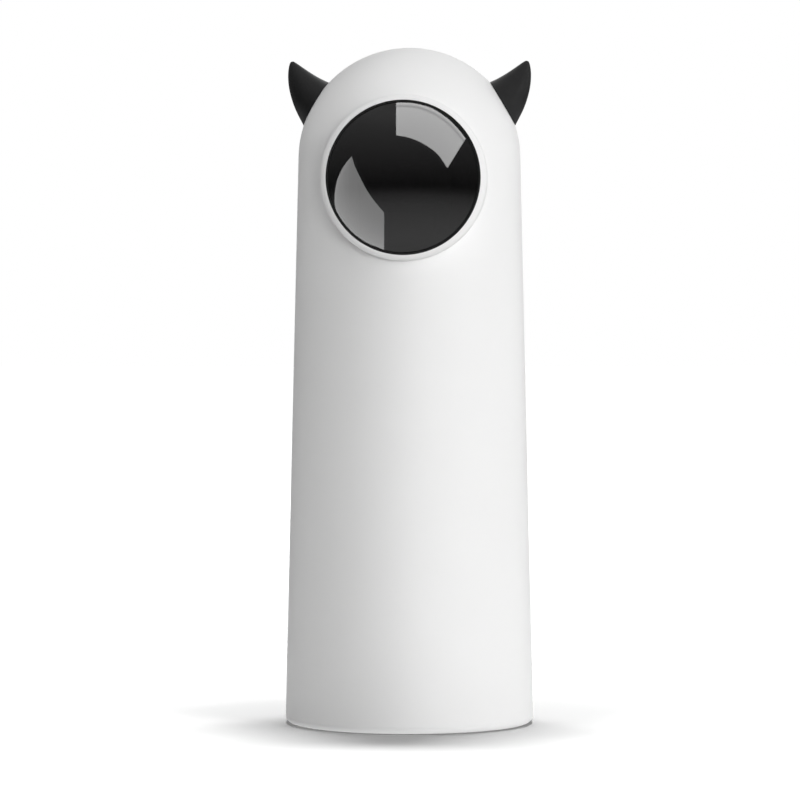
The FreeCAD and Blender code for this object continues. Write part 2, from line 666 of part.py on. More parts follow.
def deck_posts():
    """Four posts from the middle deck to the top deck. The rear pair also carries the main board."""
    half = POST_SIZE / 2
    posts = []
    for sx in (-1, 1):
        for y in (POST_FRONT_Y, POST_REAR_Y):
            x = sx * POST_X
            posts.append(box(x - half, x + half, y - half, y + half, MID_DECK_Z0, DECK_Z1))
    return posts


def board_supports():
    """Two arms from the spine to the main board's lower screws."""
    half = POST_SIZE / 2
    z = BOARD_SCREW_LOW_Z
    arms = []
    for sx in (-1, 1):
        x0, x1 = sorted((sx * (POST_X - half), sx * (POST_X + half)))
        arms.append(box(x0, x1, SPINE_Y, BOARD_Y, z - half, z + half))
    return arms


def board_screw_points():
    return [(sx * POST_X, z) for sx in (-1, 1) for z in (BOARD_SCREW_LOW_Z, BOARD_SCREW_HIGH_Z)]


def pan_ear_points():
    return [(PAN_MOTOR_X, sy * PAN_EAR_SPACING / 2) for sy in (-1, 1)]


def make_chassis():
    plate = cyl(side_radius(PLATE_Z1, SHELL_WALL) - SLIDE_FIT, COVER_Z1, PLATE_Z1)
    spine = box(-SPINE_HALF_WIDTH, SPINE_HALF_WIDTH, SPINE_Y, SPINE_Y + SPINE_THICKNESS, COVER_Z1, MID_DECK_Z1)
    outer_post = POST_X + POST_SIZE / 2
    arms_root = box(-outer_post, outer_post, SPINE_Y, SPINE_Y + SPINE_THICKNESS, COVER_Z1, MID_DECK_Z1)
    mid = deck(MID_DECK_Z0, MID_DECK_Z1).cut(box(-BASE_R, BASE_R, BOARD_Y, 2 * BASE_R, 0, BODY_HEIGHT))
    top = deck(DECK_Z0, DECK_Z1)
    ear_bosses = [cyl(EAR_BOSS_R, DECK_Z0, DECK_Z1 + EAR_BOSS_HEIGHT, x, y) for x, y in pan_ear_points()]
    pivot = cyl(PIVOT_POST_R, DECK_Z0, POST_TOP)
    frame = joined(
        plate, spine, arms_root, mid, top, pivot,
        *ear_bosses, *cell_cradles(), *charge_posts(), *deck_posts(), *board_supports()
    )
    cuts = [cyl(CELL_R + SIDE_PLAY, PLATE_Z1, MID_DECK_Z0, 0, CELL_Y)]
    cuts += [cyl(BASE_SCREW_R + HOLE_FIT, COVER_Z1 - 1, PLATE_Z1 + 1, x, y) for x, y in BOSSES]
    slot = SPINE_SLOT_WIDTH / 2
    cuts.append(box(-slot, slot, SPINE_Y - 1, SPINE_Y + 3, PLATE_Z1, PLATE_Z1 + SPINE_SLOT_HEIGHT))
    cuts.append(cyl(PAN_MOTOR_BOSS_R + SLIDE_FIT, DECK_Z0 - 1, DECK_Z1 + 1, PAN_SHAFT_X, 0))
    cuts.append(cyl(PIVOT_SCREW_R + STATIC_FIT, DECK_Z0 - 1, POST_TOP + 1))
    hole = SMALL_SCREW_R + STATIC_FIT
    cuts += [cyl(hole, DECK_Z0 - 1, DECK_Z1 + EAR_BOSS_HEIGHT - 0.5, x, y) for x, y in pan_ear_points()]
    cuts += [cyl_y(hole, BOARD_Y - BOARD_SCREW_LENGTH, BOARD_Y + 1, x, z) for x, z in board_screw_points()]
    cuts += [cyl(hole, COVER_Z1 + 1, CHARGE_BOARD_Z + 1, sx * CHARGE_POST_X, CHARGE_POST_FRONT_Y) for sx in (-1, 1)]
    return frame.cut(cuts)


# ---------------------------------------------------------------- battery
def make_battery_cell():
    can = cyl(CELL_R, CELL_Z0, CELL_Z1, 0, CELL_Y)
    return joined(can, cyl(CELL_CAP_R, CELL_Z1, CELL_Z1 + CELL_CAP_HEIGHT, 0, CELL_Y))


def make_battery_pads():
    lower = cyl(CELL_R - 1, PLATE_Z1, CELL_Z0, 0, CELL_Y)
    upper = cyl(CELL_R - 1, CELL_Z1 + CELL_CAP_HEIGHT, MID_DECK_Z0, 0, CELL_Y)
    return [lower, upper]


def make_battery_leads():
    """Two short leads from the cell's foot, through the spine's slot, down to the charge board."""
    z = PLATE_Z1 + SPINE_SLOT_HEIGHT - 2
    start = CELL_Y + math.sqrt(CELL_R**2 - (LEAD_SPACING / 2) ** 2)
    bend = 2.0
    end_y = SPINE_Y + SPINE_THICKNESS + bend + 1
    leads = []
    for sx in (-1, 1):
        x = sx * LEAD_SPACING / 2
        a, b = vec(x, start + SURFACE_GAP + LEAD_R / 4, z), vec(x, end_y - bend, z)
        turn = math.sqrt(0.5) * bend
        middle = vec(x, end_y - bend + turn, z - bend + turn)
        c, d = vec(x, end_y, z - bend), vec(x, end_y, CHARGE_TOP)
        path = Part.Wire([line(a, b), arc(b, middle, c), line(c, d)])
        section = Part.Wire(Part.makeCircle(LEAD_R, a, AXIS_Y))
        leads.append(path.makePipeShell([section], True, True))
    return leads


# ---------------------------------------------------------------- boards and controls
def make_main_board():
    board = box(-BOARD_HALF_WIDTH, BOARD_HALF_WIDTH, BOARD_Y, BOARD_BACK_Y, BOARD_Z0, BOARD_Z1)
    holes = [cyl_y(SMALL_SCREW_R + HOLE_FIT, BOARD_Y - 1, BOARD_BACK_Y + 1, x, z) for x, z in board_screw_points()]
    return board.cut(holes)


def make_board_screws():
    screw = pan_head_screw(SMALL_SCREW_R, BOARD_SCREW_LENGTH, SMALL_HEAD_R, SMALL_HEAD_HEIGHT)
    screws = [placed(screw, vec(x, BOARD_BACK_Y, z), vec(0, -1, 0)) for x, z in board_screw_points()]
    short = pan_head_screw(SMALL_SCREW_R, SMALL_SCREW_LENGTH, SMALL_HEAD_R, SMALL_HEAD_HEIGHT)
    for sx in (-1, 1):
        seat = vec(sx * CHARGE_POST_X, CHARGE_POST_FRONT_Y, CHARGE_TOP)
        screws.append(placed(short, seat, vec(0, 0, -1)))
    return screws


def make_controller_chip():
    half = CHIP_SIZE / 2
    z = BOARD_Z0 + CHIP_RISE
    return box(-half, half, BOARD_BACK_Y, BOARD_BACK_Y + CHIP_HEIGHT, z - half, z + half)


def make_board_connectors():
    """Plug sockets on the main board: one for the moving head's leads, one for the battery."""
    sockets = []
    y0, y1 = BOARD_BACK_Y, BOARD_BACK_Y + SOCKET_DEPTH
    for rise, width in ((HEAD_SOCKET_RISE, HEAD_SOCKET_WIDTH), (BATTERY_SOCKET_RISE, BATTERY_SOCKET_WIDTH)):
        z, half, high = BOARD_Z0 + rise, width / 2, SOCKET_HEIGHT / 2
        inner, low = half - SOCKET_WALL, high - SOCKET_WALL
        body = box(-half, half, y0, y1, z - high, z + high)
        sockets.append(body.cut(box(-inner, inner, y0 + SOCKET_WALL, y1 + 1, z - low, z + low)))
    return sockets


def make_board_capacitors():
    z = BOARD_Z0 + CAPACITOR_RISE
    y1 = BOARD_BACK_Y + CAPACITOR_HEIGHT
    return [cyl_y(CAPACITOR_R, BOARD_BACK_Y, y1, sx * CAPACITOR_X, z) for sx in (-1, 1)]


def make_link_pins():
    """Pins on both sides of the USB socket, from the charge board up the main board's rear face."""
    half = LINK_PIN / 2
    top = BOARD_Z0 + LINK_OVERLAP
    pins = []
    for sx in (-1, 1):
        for i in range(LINK_PINS_PER_SIDE):
            x = sx * (USB_WIDTH / 2 + LINK_GAP + half + i * LINK_PITCH)
            pins.append(box(x - half, x + half, BOARD_BACK_Y, BOARD_BACK_Y + LINK_PIN, CHARGE_TOP, top))
    return pins


def make_charge_board():
    w = CHARGE_BOARD_HALF_WIDTH
    board = box(-w, w, CHARGE_BOARD_Y0, CHARGE_BOARD_Y1, CHARGE_BOARD_Z, CHARGE_TOP)
    hole = SMALL_SCREW_R + HOLE_FIT
    return board.cut([cyl(hole, CHARGE_BOARD_Z - 1, CHARGE_TOP + 1, sx * CHARGE_POST_X, CHARGE_POST_FRONT_Y) for sx in (-1, 1)])


def make_usb_socket():
    y0, y1 = USB_MOUTH_Y - USB_DEPTH, USB_MOUTH_Y
    corner = USB_HEIGHT / 2 - 0.1
    shell = rounded_plate_y(USB_WIDTH, USB_HEIGHT, corner, y0, y1, USB_Z)
    metal = 2 * USB_METAL
    well = rounded_plate_y(USB_WIDTH - metal, USB_HEIGHT - metal, corner - USB_METAL, y0 + 1, y1 + 1, USB_Z)
    return shell.cut(well)


def make_usb_tongue():
    half, thick = USB_TONGUE_WIDTH / 2, USB_TONGUE_THICKNESS / 2
    y0 = USB_MOUTH_Y - USB_DEPTH + 1
    return box(-half, half, y0, USB_MOUTH_Y - 1, USB_Z - thick, USB_Z + thick)


def make_power_button():
    face_y = side_radius(BUTTON_Z) + BUTTON_PROUD
    cap = cyl_y(BUTTON_R, BUTTON_FLANGE_Y - BUTTON_FLANGE / 2, face_y, 0, BUTTON_Z)
    rim = [e for e in cap.Edges if e.Length > BUTTON_R and abs(e.CenterOfMass.y - face_y) < 1e-6]
    cap = cap.makeFillet(BUTTON_ROUND, rim)
    flange = cyl_y(BUTTON_FLANGE_R, BUTTON_FLANGE_Y - BUTTON_FLANGE, BUTTON_FLANGE_Y, 0, BUTTON_Z)
    stem = cyl_y(BUTTON_STEM_R, BUTTON_STEM_Y, BUTTON_FLANGE_Y, 0, BUTTON_Z)
    return joined(cap, flange, stem)


def make_switch_body():
    half = SWITCH_SIZE / 2
    body = box(-half, half, BOARD_BACK_Y, SWITCH_Y, BUTTON_Z - half, BUTTON_Z + half)
    depth = PLUNGER_INSIDE + BUTTON_TRAVEL + SIDE_PLAY
    return body.cut(cyl_y(PLUNGER_R + RUNNING_FIT, SWITCH_Y - depth, SWITCH_Y + 1, 0, BUTTON_Z))


def make_switch_plunger():
    return cyl_y(PLUNGER_R, SWITCH_Y - PLUNGER_INSIDE, BUTTON_STEM_Y, 0, BUTTON_Z)


def make_status_led():
    return box(-LED_HALF, LED_HALF, BOARD_BACK_Y, BOARD_BACK_Y + LED_HEIGHT, LIGHT_Z - LED_HALF, LIGHT_Z + LED_HALF)


def make_light_pipe():
    start = BOARD_BACK_Y + LED_HEIGHT + SIDE_PLAY
    collar_y = chord_y(LIGHT_Z + LIGHT_COLLAR_R, LIGHT_COLLAR_R, SHELL_WALL) - SIDE_PLAY
    rod = cyl_y(LIGHT_R, start, side_radius(LIGHT_Z), 0, LIGHT_Z)
    return joined(rod, cyl_y(LIGHT_COLLAR_R, collar_y - LIGHT_COLLAR, collar_y, 0, LIGHT_Z))


# ---------------------------------------------------------------- pan drive
def make_pan_motor():
    bottom = DECK_Z0 - PAN_MOTOR_HEIGHT
    can = cyl(PAN_MOTOR_R, bottom, DECK_Z0, PAN_MOTOR_X, 0)
    reach = PAN_EAR_SPACING / 2
    half = PAN_EAR_HALF_WIDTH
    plate = box(PAN_MOTOR_X - half, PAN_MOTOR_X + half, -reach, reach, DECK_Z0 - MOTOR_PLATE, DECK_Z0)
    ends = [cyl(half, DECK_Z0 - MOTOR_PLATE, DECK_Z0, x, y) for x, y in pan_ear_points()]
    boss = cyl(PAN_MOTOR_BOSS_R, DECK_Z0 - 1, DECK_Z0 + MOTOR_BOSS_HEIGHT, PAN_SHAFT_X, 0)
    motor = joined(can, plate, boss, *ends)
    cuts = [cyl(SMALL_SCREW_R + HOLE_FIT, bottom, DECK_Z1, x, y) for x, y in pan_ear_points()]
    shaft_z = DECK_Z0 - PAN_SHAFT_INSIDE - SIDE_PLAY
    cuts.append(cyl(PAN_SHAFT_R + RUNNING_FIT, shaft_z, DECK_Z1 + 5, PAN_SHAFT_X, 0))
    return motor.cut(cuts)


def terminal_box():
    """Low and high corner of the pan motor's terminal block, on the side that faces the main board."""
    half = TERMINAL_WIDTH / 2
    y1 = PAN_MOTOR_R + TERMINAL_DEPTH
    z1 = DECK_Z0 - MOTOR_PLATE - 2
    return PAN_MOTOR_X - half, PAN_MOTOR_X + half, y1, z1 - TERMINAL_HEIGHT, z1


def make_pan_motor_terminal():
    x0, x1, y1, z0, z1 = terminal_box()
    block = box(x0, x1, 0, y1, z0, z1)
    return block.cut(cyl(PAN_MOTOR_R + STATIC_FIT, z0 - 1, z1 + 1, PAN_MOTOR_X, 0))


def make_pan_motor_wires():
    x0, x1, y1, z0, z1 = terminal_box()
    wires = []
    for i in range(MOTOR_WIRES):
        x = (x0 + x1) / 2 + (i - (MOTOR_WIRES - 1) / 2) * MOTOR_WIRE_PITCH
        wires.append(cyl_y(MOTOR_WIRE_R, y1, BOARD_Y, x, (z0 + z1) / 2))
    return wires


def make_pan_motor_screws():
    screw = pan_head_screw(SMALL_SCREW_R, SMALL_SCREW_LENGTH, SMALL_HEAD_R, SMALL_HEAD_HEIGHT)
    return [placed(screw, vec(x, y, DECK_Z0 - MOTOR_PLATE), AXIS_Z) for x, y in pan_ear_points()]


def pan_pinion_top():
    return PAN_GEAR_Z0 + PAN_PINION_THICKNESS


def make_pan_motor_shaft():
    return cyl(PAN_SHAFT_R, DECK_Z0 - PAN_SHAFT_INSIDE, pan_pinion_top(), PAN_SHAFT_X, 0)


def make_pan_pinion():
    pinion = involute_gear(PINION_TEETH, PAN_GEAR_Z0, pan_pinion_top(), 180.0 / PINION_TEETH)
    pinion.translate(vec(PAN_SHAFT_X, 0, 0))
    return pinion.cut(cyl(PAN_SHAFT_R + STATIC_FIT, DECK_Z0, PLATFORM_Z1, PAN_SHAFT_X, 0))


def make_thrust_washer():
    outer = cyl(THRUST_WASHER_R, DECK_Z1, DECK_Z1 + THRUST_WASHER)
    return outer.cut(cyl(PIVOT_POST_R + RUNNING_FIT, DECK_Z1 - 1, DECK_Z1 + 5))


def make_pan_pivot_screw():
    screw = pan_head_screw(PIVOT_SCREW_R, PIVOT_SCREW_LENGTH, PIVOT_HEAD_R, PIVOT_HEAD_HEIGHT)
    return placed(screw, vec(0, 0, POST_TOP), vec(0, 0, -1))


def make_turntable():
    """Pan gear, platform, two uprights for the cradle's pins, and the wall for the tilt motor."""
    gear = involute_gear(PAN_TEETH, PAN_GEAR_Z0, PLATFORM_Z0, 180.0)
    parts = [cyl(PLATFORM_R, PLATFORM_Z0, PLATFORM_Z1)]
    half = UPRIGHT_HALF_WIDTH
    for x0 in (-UPRIGHT_OUTER_X, UPRIGHT_X):
        x1 = x0 + UPRIGHT_THICKNESS
        parts.append(box(x0, x1, -half, half, PLATFORM_Z0, PIVOT_Z))
        parts.append(cyl_x(half, x0, x1, 0, PIVOT_Z))
    reach = TILT_EAR_SPACING / 2 + TILT_EAR_HALF_WIDTH
    wall_x1 = MOTOR_WALL_X + MOTOR_WALL
    parts.append(box(MOTOR_WALL_X, wall_x1, -reach, reach, PLATFORM_Z0, TILT_MOTOR_Z + MOTOR_WALL_ABOVE))
    for sy in (-1, 1):
        y = sy * TILT_EAR_SPACING / 2
        parts.append(cyl_x(SMALL_HEAD_R + 0.5, MOTOR_WALL_X, wall_x1 + 2, y, TILT_MOTOR_Z))
    table = joined(gear, *parts)
    cuts = [
        cyl(PIVOT_POST_R + RUNNING_FIT, PAN_GEAR_Z0 - 1, PLATFORM_Z1 + 1),
        cyl(PIVOT_HEAD_R + SLIDE_FIT, POST_TOP - SIDE_PLAY, PLATFORM_Z1 + 1),
        cyl_x(PIN_R + RUNNING_FIT, -UPRIGHT_OUTER_X - 1, UPRIGHT_OUTER_X + 1, 0, PIVOT_Z),
        cyl_x(TILT_MOTOR_BOSS_R + HOLE_FIT, MOTOR_WALL_X - 1, wall_x1 + 1, 0, TILT_MOTOR_Z),
    ]
    hole = SMALL_SCREW_R + STATIC_FIT
    cuts += [cyl_x(hole, MOTOR_WALL_X - 1, wall_x1 + 3, sy * TILT_EAR_SPACING / 2, TILT_MOTOR_Z) for sy in (-1, 1)]
    return table.cut(cuts)


# ---------------------------------------------------------------- tilt drive
def make_tilt_motor():
    back_x = MOTOR_WALL_X - TILT_MOTOR_LENGTH
    z = TILT_MOTOR_Z
    can = cyl_x(TILT_MOTOR_R, back_x, MOTOR_WALL_X, 0, z)
    reach = TILT_EAR_SPACING / 2
    half = TILT_EAR_HALF_WIDTH
    plate_x = MOTOR_WALL_X - MOTOR_PLATE
    plate = box(plate_x, MOTOR_WALL_X, -reach, reach, z - half, z + half)
    ends = [cyl_x(half, plate_x, MOTOR_WALL_X, sy * reach, z) for sy in (-1, 1)]
    boss = cyl_x(TILT_MOTOR_BOSS_R, plate_x, MOTOR_WALL_X + MOTOR_BOSS_HEIGHT, 0, z)
    motor = joined(can, plate, boss, *ends)
    cuts = [cyl_x(SMALL_SCREW_R + HOLE_FIT, back_x - 1, MOTOR_WALL_X + 1, sy * reach, z) for sy in (-1, 1)]
    start = MOTOR_WALL_X - TILT_SHAFT_INSIDE - SIDE_PLAY
    cuts.append(cyl_x(TILT_SHAFT_R + RUNNING_FIT, start, MOTOR_WALL_X + 5, 0, z))
    return motor.cut(cuts)


def make_tilt_motor_screws():
    screw = pan_head_screw(SMALL_SCREW_R, SMALL_SCREW_LENGTH, SMALL_HEAD_R, SMALL_HEAD_HEIGHT)
    reach = TILT_EAR_SPACING / 2
    return [placed(screw, vec(MOTOR_WALL_X - MOTOR_PLATE, sy * reach, TILT_MOTOR_Z), AXIS_X) for sy in (-1, 1)]


def tilt_pinion_ends():
    middle = TILT_GEAR_X + TILT_GEAR_THICKNESS / 2
    return middle - TILT_PINION_THICKNESS / 2, middle + TILT_PINION_THICKNESS / 2


def make_tilt_motor_shaft():
    return cyl_x(TILT_SHAFT_R, MOTOR_WALL_X - TILT_SHAFT_INSIDE, tilt_pinion_ends()[1], 0, TILT_MOTOR_Z)


def gear_about_x(gear, z):
    """Turns a gear made about the Z axis so that it lies about the X axis, at height z.
    The gear's own +X direction then points down, and its own +Z points along +X."""
    gear.rotate(vec(0, 0, 0), AXIS_Y, 90)
    gear.translate(vec(0, 0, z))
    return gear


def make_tilt_pinion():
    x0, x1 = tilt_pinion_ends()
    pinion = gear_about_x(involute_gear(PINION_TEETH, x0, x1, 180.0 + 180.0 / PINION_TEETH), TILT_MOTOR_Z)
    return pinion.cut(cyl_x(TILT_SHAFT_R + STATIC_FIT, x0 - 1, x1 + 1, 0, TILT_MOTOR_Z))


def make_tilt_gear():
    """Sector of a gear about the cradle's pins, with a hub and two drive pegs."""
    x0, x1 = TILT_GEAR_X, TILT_GEAR_X + TILT_GEAR_THICKNESS
    gear = gear_about_x(involute_gear(TILT_TEETH, x0, x1), PIVOT_Z)
    reach = GEAR_MODULE * TILT_TEETH
    front = -math.radians(90 + TILT_DOWN + SECTOR_MARGIN)
    rear = -math.radians(90 - TILT_UP - SECTOR_MARGIN)
    centre = vec(x0, 0, PIVOT_Z)
    corners = [centre]
    for i in range(3):
        angle = front + (rear - front) * i / 2
        corners.append(vec(x0, reach * math.cos(angle), PIVOT_Z + reach * math.sin(angle)))
    wedge_edges = [line(a, b) for a, b in zip(corners, corners[1:] + corners[:1])]
    wedge = Part.Face(Part.Wire(wedge_edges)).extrude(vec(x1 - x0, 0, 0))
    sector = gear.common(wedge)
    hub = cyl_x(SECTOR_HUB_R, CRADLE_HALF_X, x1, 0, PIVOT_Z)
    pegs = [cyl_x(PEG_R, CRADLE_HALF_X - 1.5, x1 - 1, sy * PEG_OFFSET, PIVOT_Z) for sy in (-1, 1)]
    gear = joined(hub, sector, *pegs)
    return gear.cut(cyl_x(PIN_R + STATIC_FIT, 0, UPRIGHT_X, 0, PIVOT_Z))


# ---------------------------------------------------------------- laser head
def make_laser_cradle():
    block = box(
        -CRADLE_HALF_X, CRADLE_HALF_X, -CRADLE_HALF_Y, CRADLE_HALF_Y,
        PIVOT_Z - CRADLE_HALF_Z, PIVOT_Z + CRADLE_HALF_Z
    )
    along = [e for e in block.Edges if abs(e.tangentAt(e.FirstParameter).x) > 0.9]
    block = block.makeFillet(1.0, along)
    cuts = [
        cyl_y(LASER_R + STATIC_FIT, -CRADLE_HALF_Y - 1, CRADLE_HALF_Y + 1, 0, PIVOT_Z),
        cyl_x(PIN_R + STATIC_FIT, -CRADLE_HALF_X - 1, CRADLE_HALF_X + 1, 0, PIVOT_Z),
        cyl(SMALL_SCREW_R + STATIC_FIT, PIVOT_Z, PIVOT_Z + 2 * CRADLE_HALF_Z),
    ]
    for sy in (-1, 1):
        cuts.append(cyl_x(PEG_R + STATIC_FIT, LASER_R, CRADLE_HALF_X + 1, sy * PEG_OFFSET, PIVOT_Z))
    return block.cut(cuts)


def make_cradle_pins():
    inner = LASER_R + 2 * RUNNING_FIT
    outer = UPRIGHT_OUTER_X + SIDE_PLAY
    return [cyl_x(PIN_R, -outer, -inner, 0, PIVOT_Z), cyl_x(PIN_R, inner, outer, 0, PIVOT_Z)]


def make_laser_set_screw():
    z0 = PIVOT_Z + LASER_R + RUNNING_FIT
    return cyl(SMALL_SCREW_R, z0, PIVOT_Z + CRADLE_HALF_Z + 0.4)


def make_laser_barrel():
    tube = cyl_y(LASER_R, LASER_FRONT_Y, BARREL_BACK_Y, 0, PIVOT_Z)
    return tube.cut(cyl_y(LASER_BORE_R, LASER_FRONT_Y - 1, BARREL_BACK_Y + 1, 0, PIVOT_Z))


def make_laser_lens():
    y0 = LASER_FRONT_Y + LASER_LENS_RECESS
    y1 = y0 + LASER_LENS_THICKNESS
    disc = cyl_y(LASER_BORE_R - STATIC_FIT, y0, y1, 0, PIVOT_Z)
    return disc.common(Part.makeSphere(2 * LASER_BORE_R, vec(0, y0 + 2 * LASER_BORE_R, PIVOT_Z)))


def make_laser_diode():
    y1 = BARREL_BACK_Y
    can = cyl_y(LASER_BORE_R - 0.6, y1 - LASER_DIODE_LENGTH, y1 - 1, 0, PIVOT_Z)
    return joined(can, cyl_y(LASER_BORE_R - STATIC_FIT, y1 - 2.2, y1, 0, PIVOT_Z))


def make_laser_board():
    return cyl_y(LASER_R - 0.3, BARREL_BACK_Y, BARREL_BACK_Y + LASER_BOARD_THICKNESS, 0, PIVOT_Z)


# ---------------------------------------------------------------- files
PIECES = {
    "body_shell": make_body_shell,
    "window_ring": make_window_ring,
    "window_gasket": make_window_gasket,
    "smoked_window": make_window,
    "horn_left": lambda: make_horn(-1),
    "horn_right": lambda: make_horn(1),
    "horn_clips": make_horn_clips,
    "base_cover": make_base_cover,
    "foot_pad": make_foot_pad,
    "base_screws": make_base_screws,
    "chassis": make_chassis,
    "battery_cell": make_battery_cell,
    "battery_pads": make_battery_pads,
    "battery_leads": make_battery_leads,
    "main_board": make_main_board,
    "board_screws": make_board_screws,
    "controller_chip": make_controller_chip,
    "board_connectors": make_board_connectors,
    "board_capacitors": make_board_capacitors,
    "board_link_pins": make_link_pins,
    "charge_board": make_charge_board,
    "usb_socket": make_usb_socket,
    "usb_tongue": make_usb_tongue,
    "power_button": make_power_button,
    "switch_body": make_switch_body,
    "switch_plunger": make_switch_plunger,
    "status_led": make_status_led,
    "light_pipe": make_light_pipe,
    "pan_motor": make_pan_motor,
    "pan_motor_terminal": make_pan_motor_terminal,
    "pan_motor_wires": make_pan_motor_wires,
    "pan_motor_screws": make_pan_motor_screws,
    "pan_motor_shaft": make_pan_motor_shaft,
    "pan_pinion": make_pan_pinion,
    "pan_thrust_washer": make_thrust_washer,
    "pan_pivot_screw": make_pan_pivot_screw,
    "turntable": make_turntable,
    "tilt_motor": make_tilt_motor,
    "tilt_motor_screws": make_tilt_motor_screws,
    "tilt_motor_shaft": make_tilt_motor_shaft,
    "tilt_pinion": make_tilt_pinion,
    "tilt_gear": make_tilt_gear,
    "laser_cradle": make_laser_cradle,
    "cradle_pins": make_cradle_pins,
    "laser_set_screw": make_laser_set_screw,
    "laser_barrel": make_laser_barrel,
    "laser_lens": make_laser_lens,
    "laser_diode": make_laser_diode,
    "laser_board": make_laser_board,
}


def main():
    os.makedirs("parts", exist_ok=True)
    for name, make in PIECES.items():
        made = make()
        solids = [s for shape in (made if isinstance(made, list) else [made]) for s in shape.Solids]
        whole = solids[0] if len(solids) == 1 else Part.makeCompound(solids)
        whole.exportStep(f"parts/{name}.step")
        volume = sum(s.Volume for s in solids)
        print(f"{name:20s} solids {len(solids)}  volume {volume:9.1f} mm3  valid {whole.isValid()}")


main()
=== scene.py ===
import math

import bmesh
import bpy
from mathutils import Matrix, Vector


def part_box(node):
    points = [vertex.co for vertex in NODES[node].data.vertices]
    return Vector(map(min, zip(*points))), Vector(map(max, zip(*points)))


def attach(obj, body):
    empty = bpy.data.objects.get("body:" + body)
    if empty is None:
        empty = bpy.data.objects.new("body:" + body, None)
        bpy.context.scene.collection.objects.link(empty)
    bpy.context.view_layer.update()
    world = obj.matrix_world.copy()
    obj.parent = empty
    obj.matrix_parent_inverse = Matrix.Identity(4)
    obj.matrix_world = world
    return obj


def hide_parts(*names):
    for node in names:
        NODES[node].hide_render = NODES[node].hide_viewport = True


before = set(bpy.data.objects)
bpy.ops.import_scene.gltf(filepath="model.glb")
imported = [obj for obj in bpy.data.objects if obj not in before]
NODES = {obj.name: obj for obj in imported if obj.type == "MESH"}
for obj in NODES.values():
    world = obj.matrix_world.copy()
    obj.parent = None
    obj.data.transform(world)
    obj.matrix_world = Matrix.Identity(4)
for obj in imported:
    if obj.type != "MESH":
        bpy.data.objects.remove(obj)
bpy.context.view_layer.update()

# Lengths are in metres. X is to the right, -Y to the front and Z up, with the floor at 0.
MM = 0.001
TINY = 1e-9

# ---------------------------------------------------------------- the window's own sizes
window_low, window_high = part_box("smoked_window")
WALL = 1.5 * MM
FLANGE_THICKNESS = 1.2 * MM
FLANGE_STEP = 0.2 * MM  # from the flange's edge in to the foot of the dome
FLANGE_SOFT = 0.06 * MM  # how far the flange's edges are broken
WINDOW_Z = (window_low.z + window_high.z) / 2
WINDOW_FRONT = window_low.y
FLANGE_R = (window_high.x - window_low.x) / 2
FLANGE_BACK = window_high.y
FLANGE_FRONT = FLANGE_BACK - FLANGE_THICKNESS
WINDOW_R = FLANGE_R - FLANGE_STEP
WINDOW_SAG = FLANGE_FRONT - WINDOW_FRONT
SPHERE_R = (WINDOW_R ** 2 + WINDOW_SAG ** 2) / (2 * WINDOW_SAG)
SPHERE_CENTRE = Vector((0.0, WINDOW_FRONT + SPHERE_R, WINDOW_Z))

# ---------------------------------------------------------------- camera
CAMERA_DISTANCE = 0.950
CAMERA_HEIGHT = 0.1013
CAMERA_AZIMUTH = math.radians(2.829)
CAMERA_PITCH = math.radians(1.326)
CAMERA_YAW = math.radians(-0.139)
LENS_MM = 174.06
SENSOR_MM = 36.0
FRAME_PX = 800
UPWARDS = Vector((0, 0, 1))

camera_data = bpy.data.cameras.new("camera")
camera_data.lens = LENS_MM
camera_data.sensor_width = SENSOR_MM
camera_data.clip_start = 0.02
camera_data.clip_end = 40.0
camera = bpy.data.objects.new("camera", camera_data)
bpy.context.scene.collection.objects.link(camera)
bpy.context.scene.camera = camera
back = Vector((math.sin(CAMERA_AZIMUTH), -math.cos(CAMERA_AZIMUTH), 0.0))
side = Vector((math.cos(CAMERA_AZIMUTH), math.sin(CAMERA_AZIMUTH), 0.0))
ahead = -back * math.cos(CAMERA_YAW) + side * math.sin(CAMERA_YAW)
right = side * math.cos(CAMERA_YAW) + back * math.sin(CAMERA_YAW)
forward = ahead * math.cos(CAMERA_PITCH) - UPWARDS * math.sin(CAMERA_PITCH)
up = right.cross(forward)
camera.location = back * CAMERA_DISTANCE + UPWARDS * CAMERA_HEIGHT
camera.rotation_mode = "QUATERNION"
camera.rotation_quaternion = forward.to_track_quat("-Z", "Y")


def sight(px, py):
    """The direction in which the camera sees a point of the picture."""
    focal_px = LENS_MM / SENSOR_MM * FRAME_PX
    half = FRAME_PX / 2
    return (forward + right * ((px - half) / focal_px) + up * ((half - py) / focal_px)).normalized()


# ---------------------------------------------------------------- materials
def node_material(name):
    """A new material with its node tree, shader and object coordinates."""
    material = bpy.data.materials.new(name)
    material.use_nodes = True
    tree = material.node_tree
    shader = tree.nodes["Principled BSDF"]
    coords = tree.nodes.new("ShaderNodeTexCoord")
    return material, tree, shader, coords.outputs["Object"]


def noise(tree, place, scale, detail=2.0, roughness=0.5, stretch=None, distortion=0.0):
    """Noise over the piece, scale in waves a metre. stretch is a scale along each axis."""
    if stretch:
        mapping = tree.nodes.new("ShaderNodeMapping")
        mapping.inputs["Scale"].default_value = stretch
        tree.links.new(place, mapping.inputs["Vector"])
        place = mapping.outputs["Vector"]
    texture = tree.nodes.new("ShaderNodeTexNoise")
    texture.inputs["Scale"].default_value = scale
    texture.inputs["Detail"].default_value = detail
    texture.inputs["Roughness"].default_value = roughness
    texture.inputs["Distortion"].default_value = distortion
    tree.links.new(place, texture.inputs["Vector"])
    return texture.outputs["Fac"]


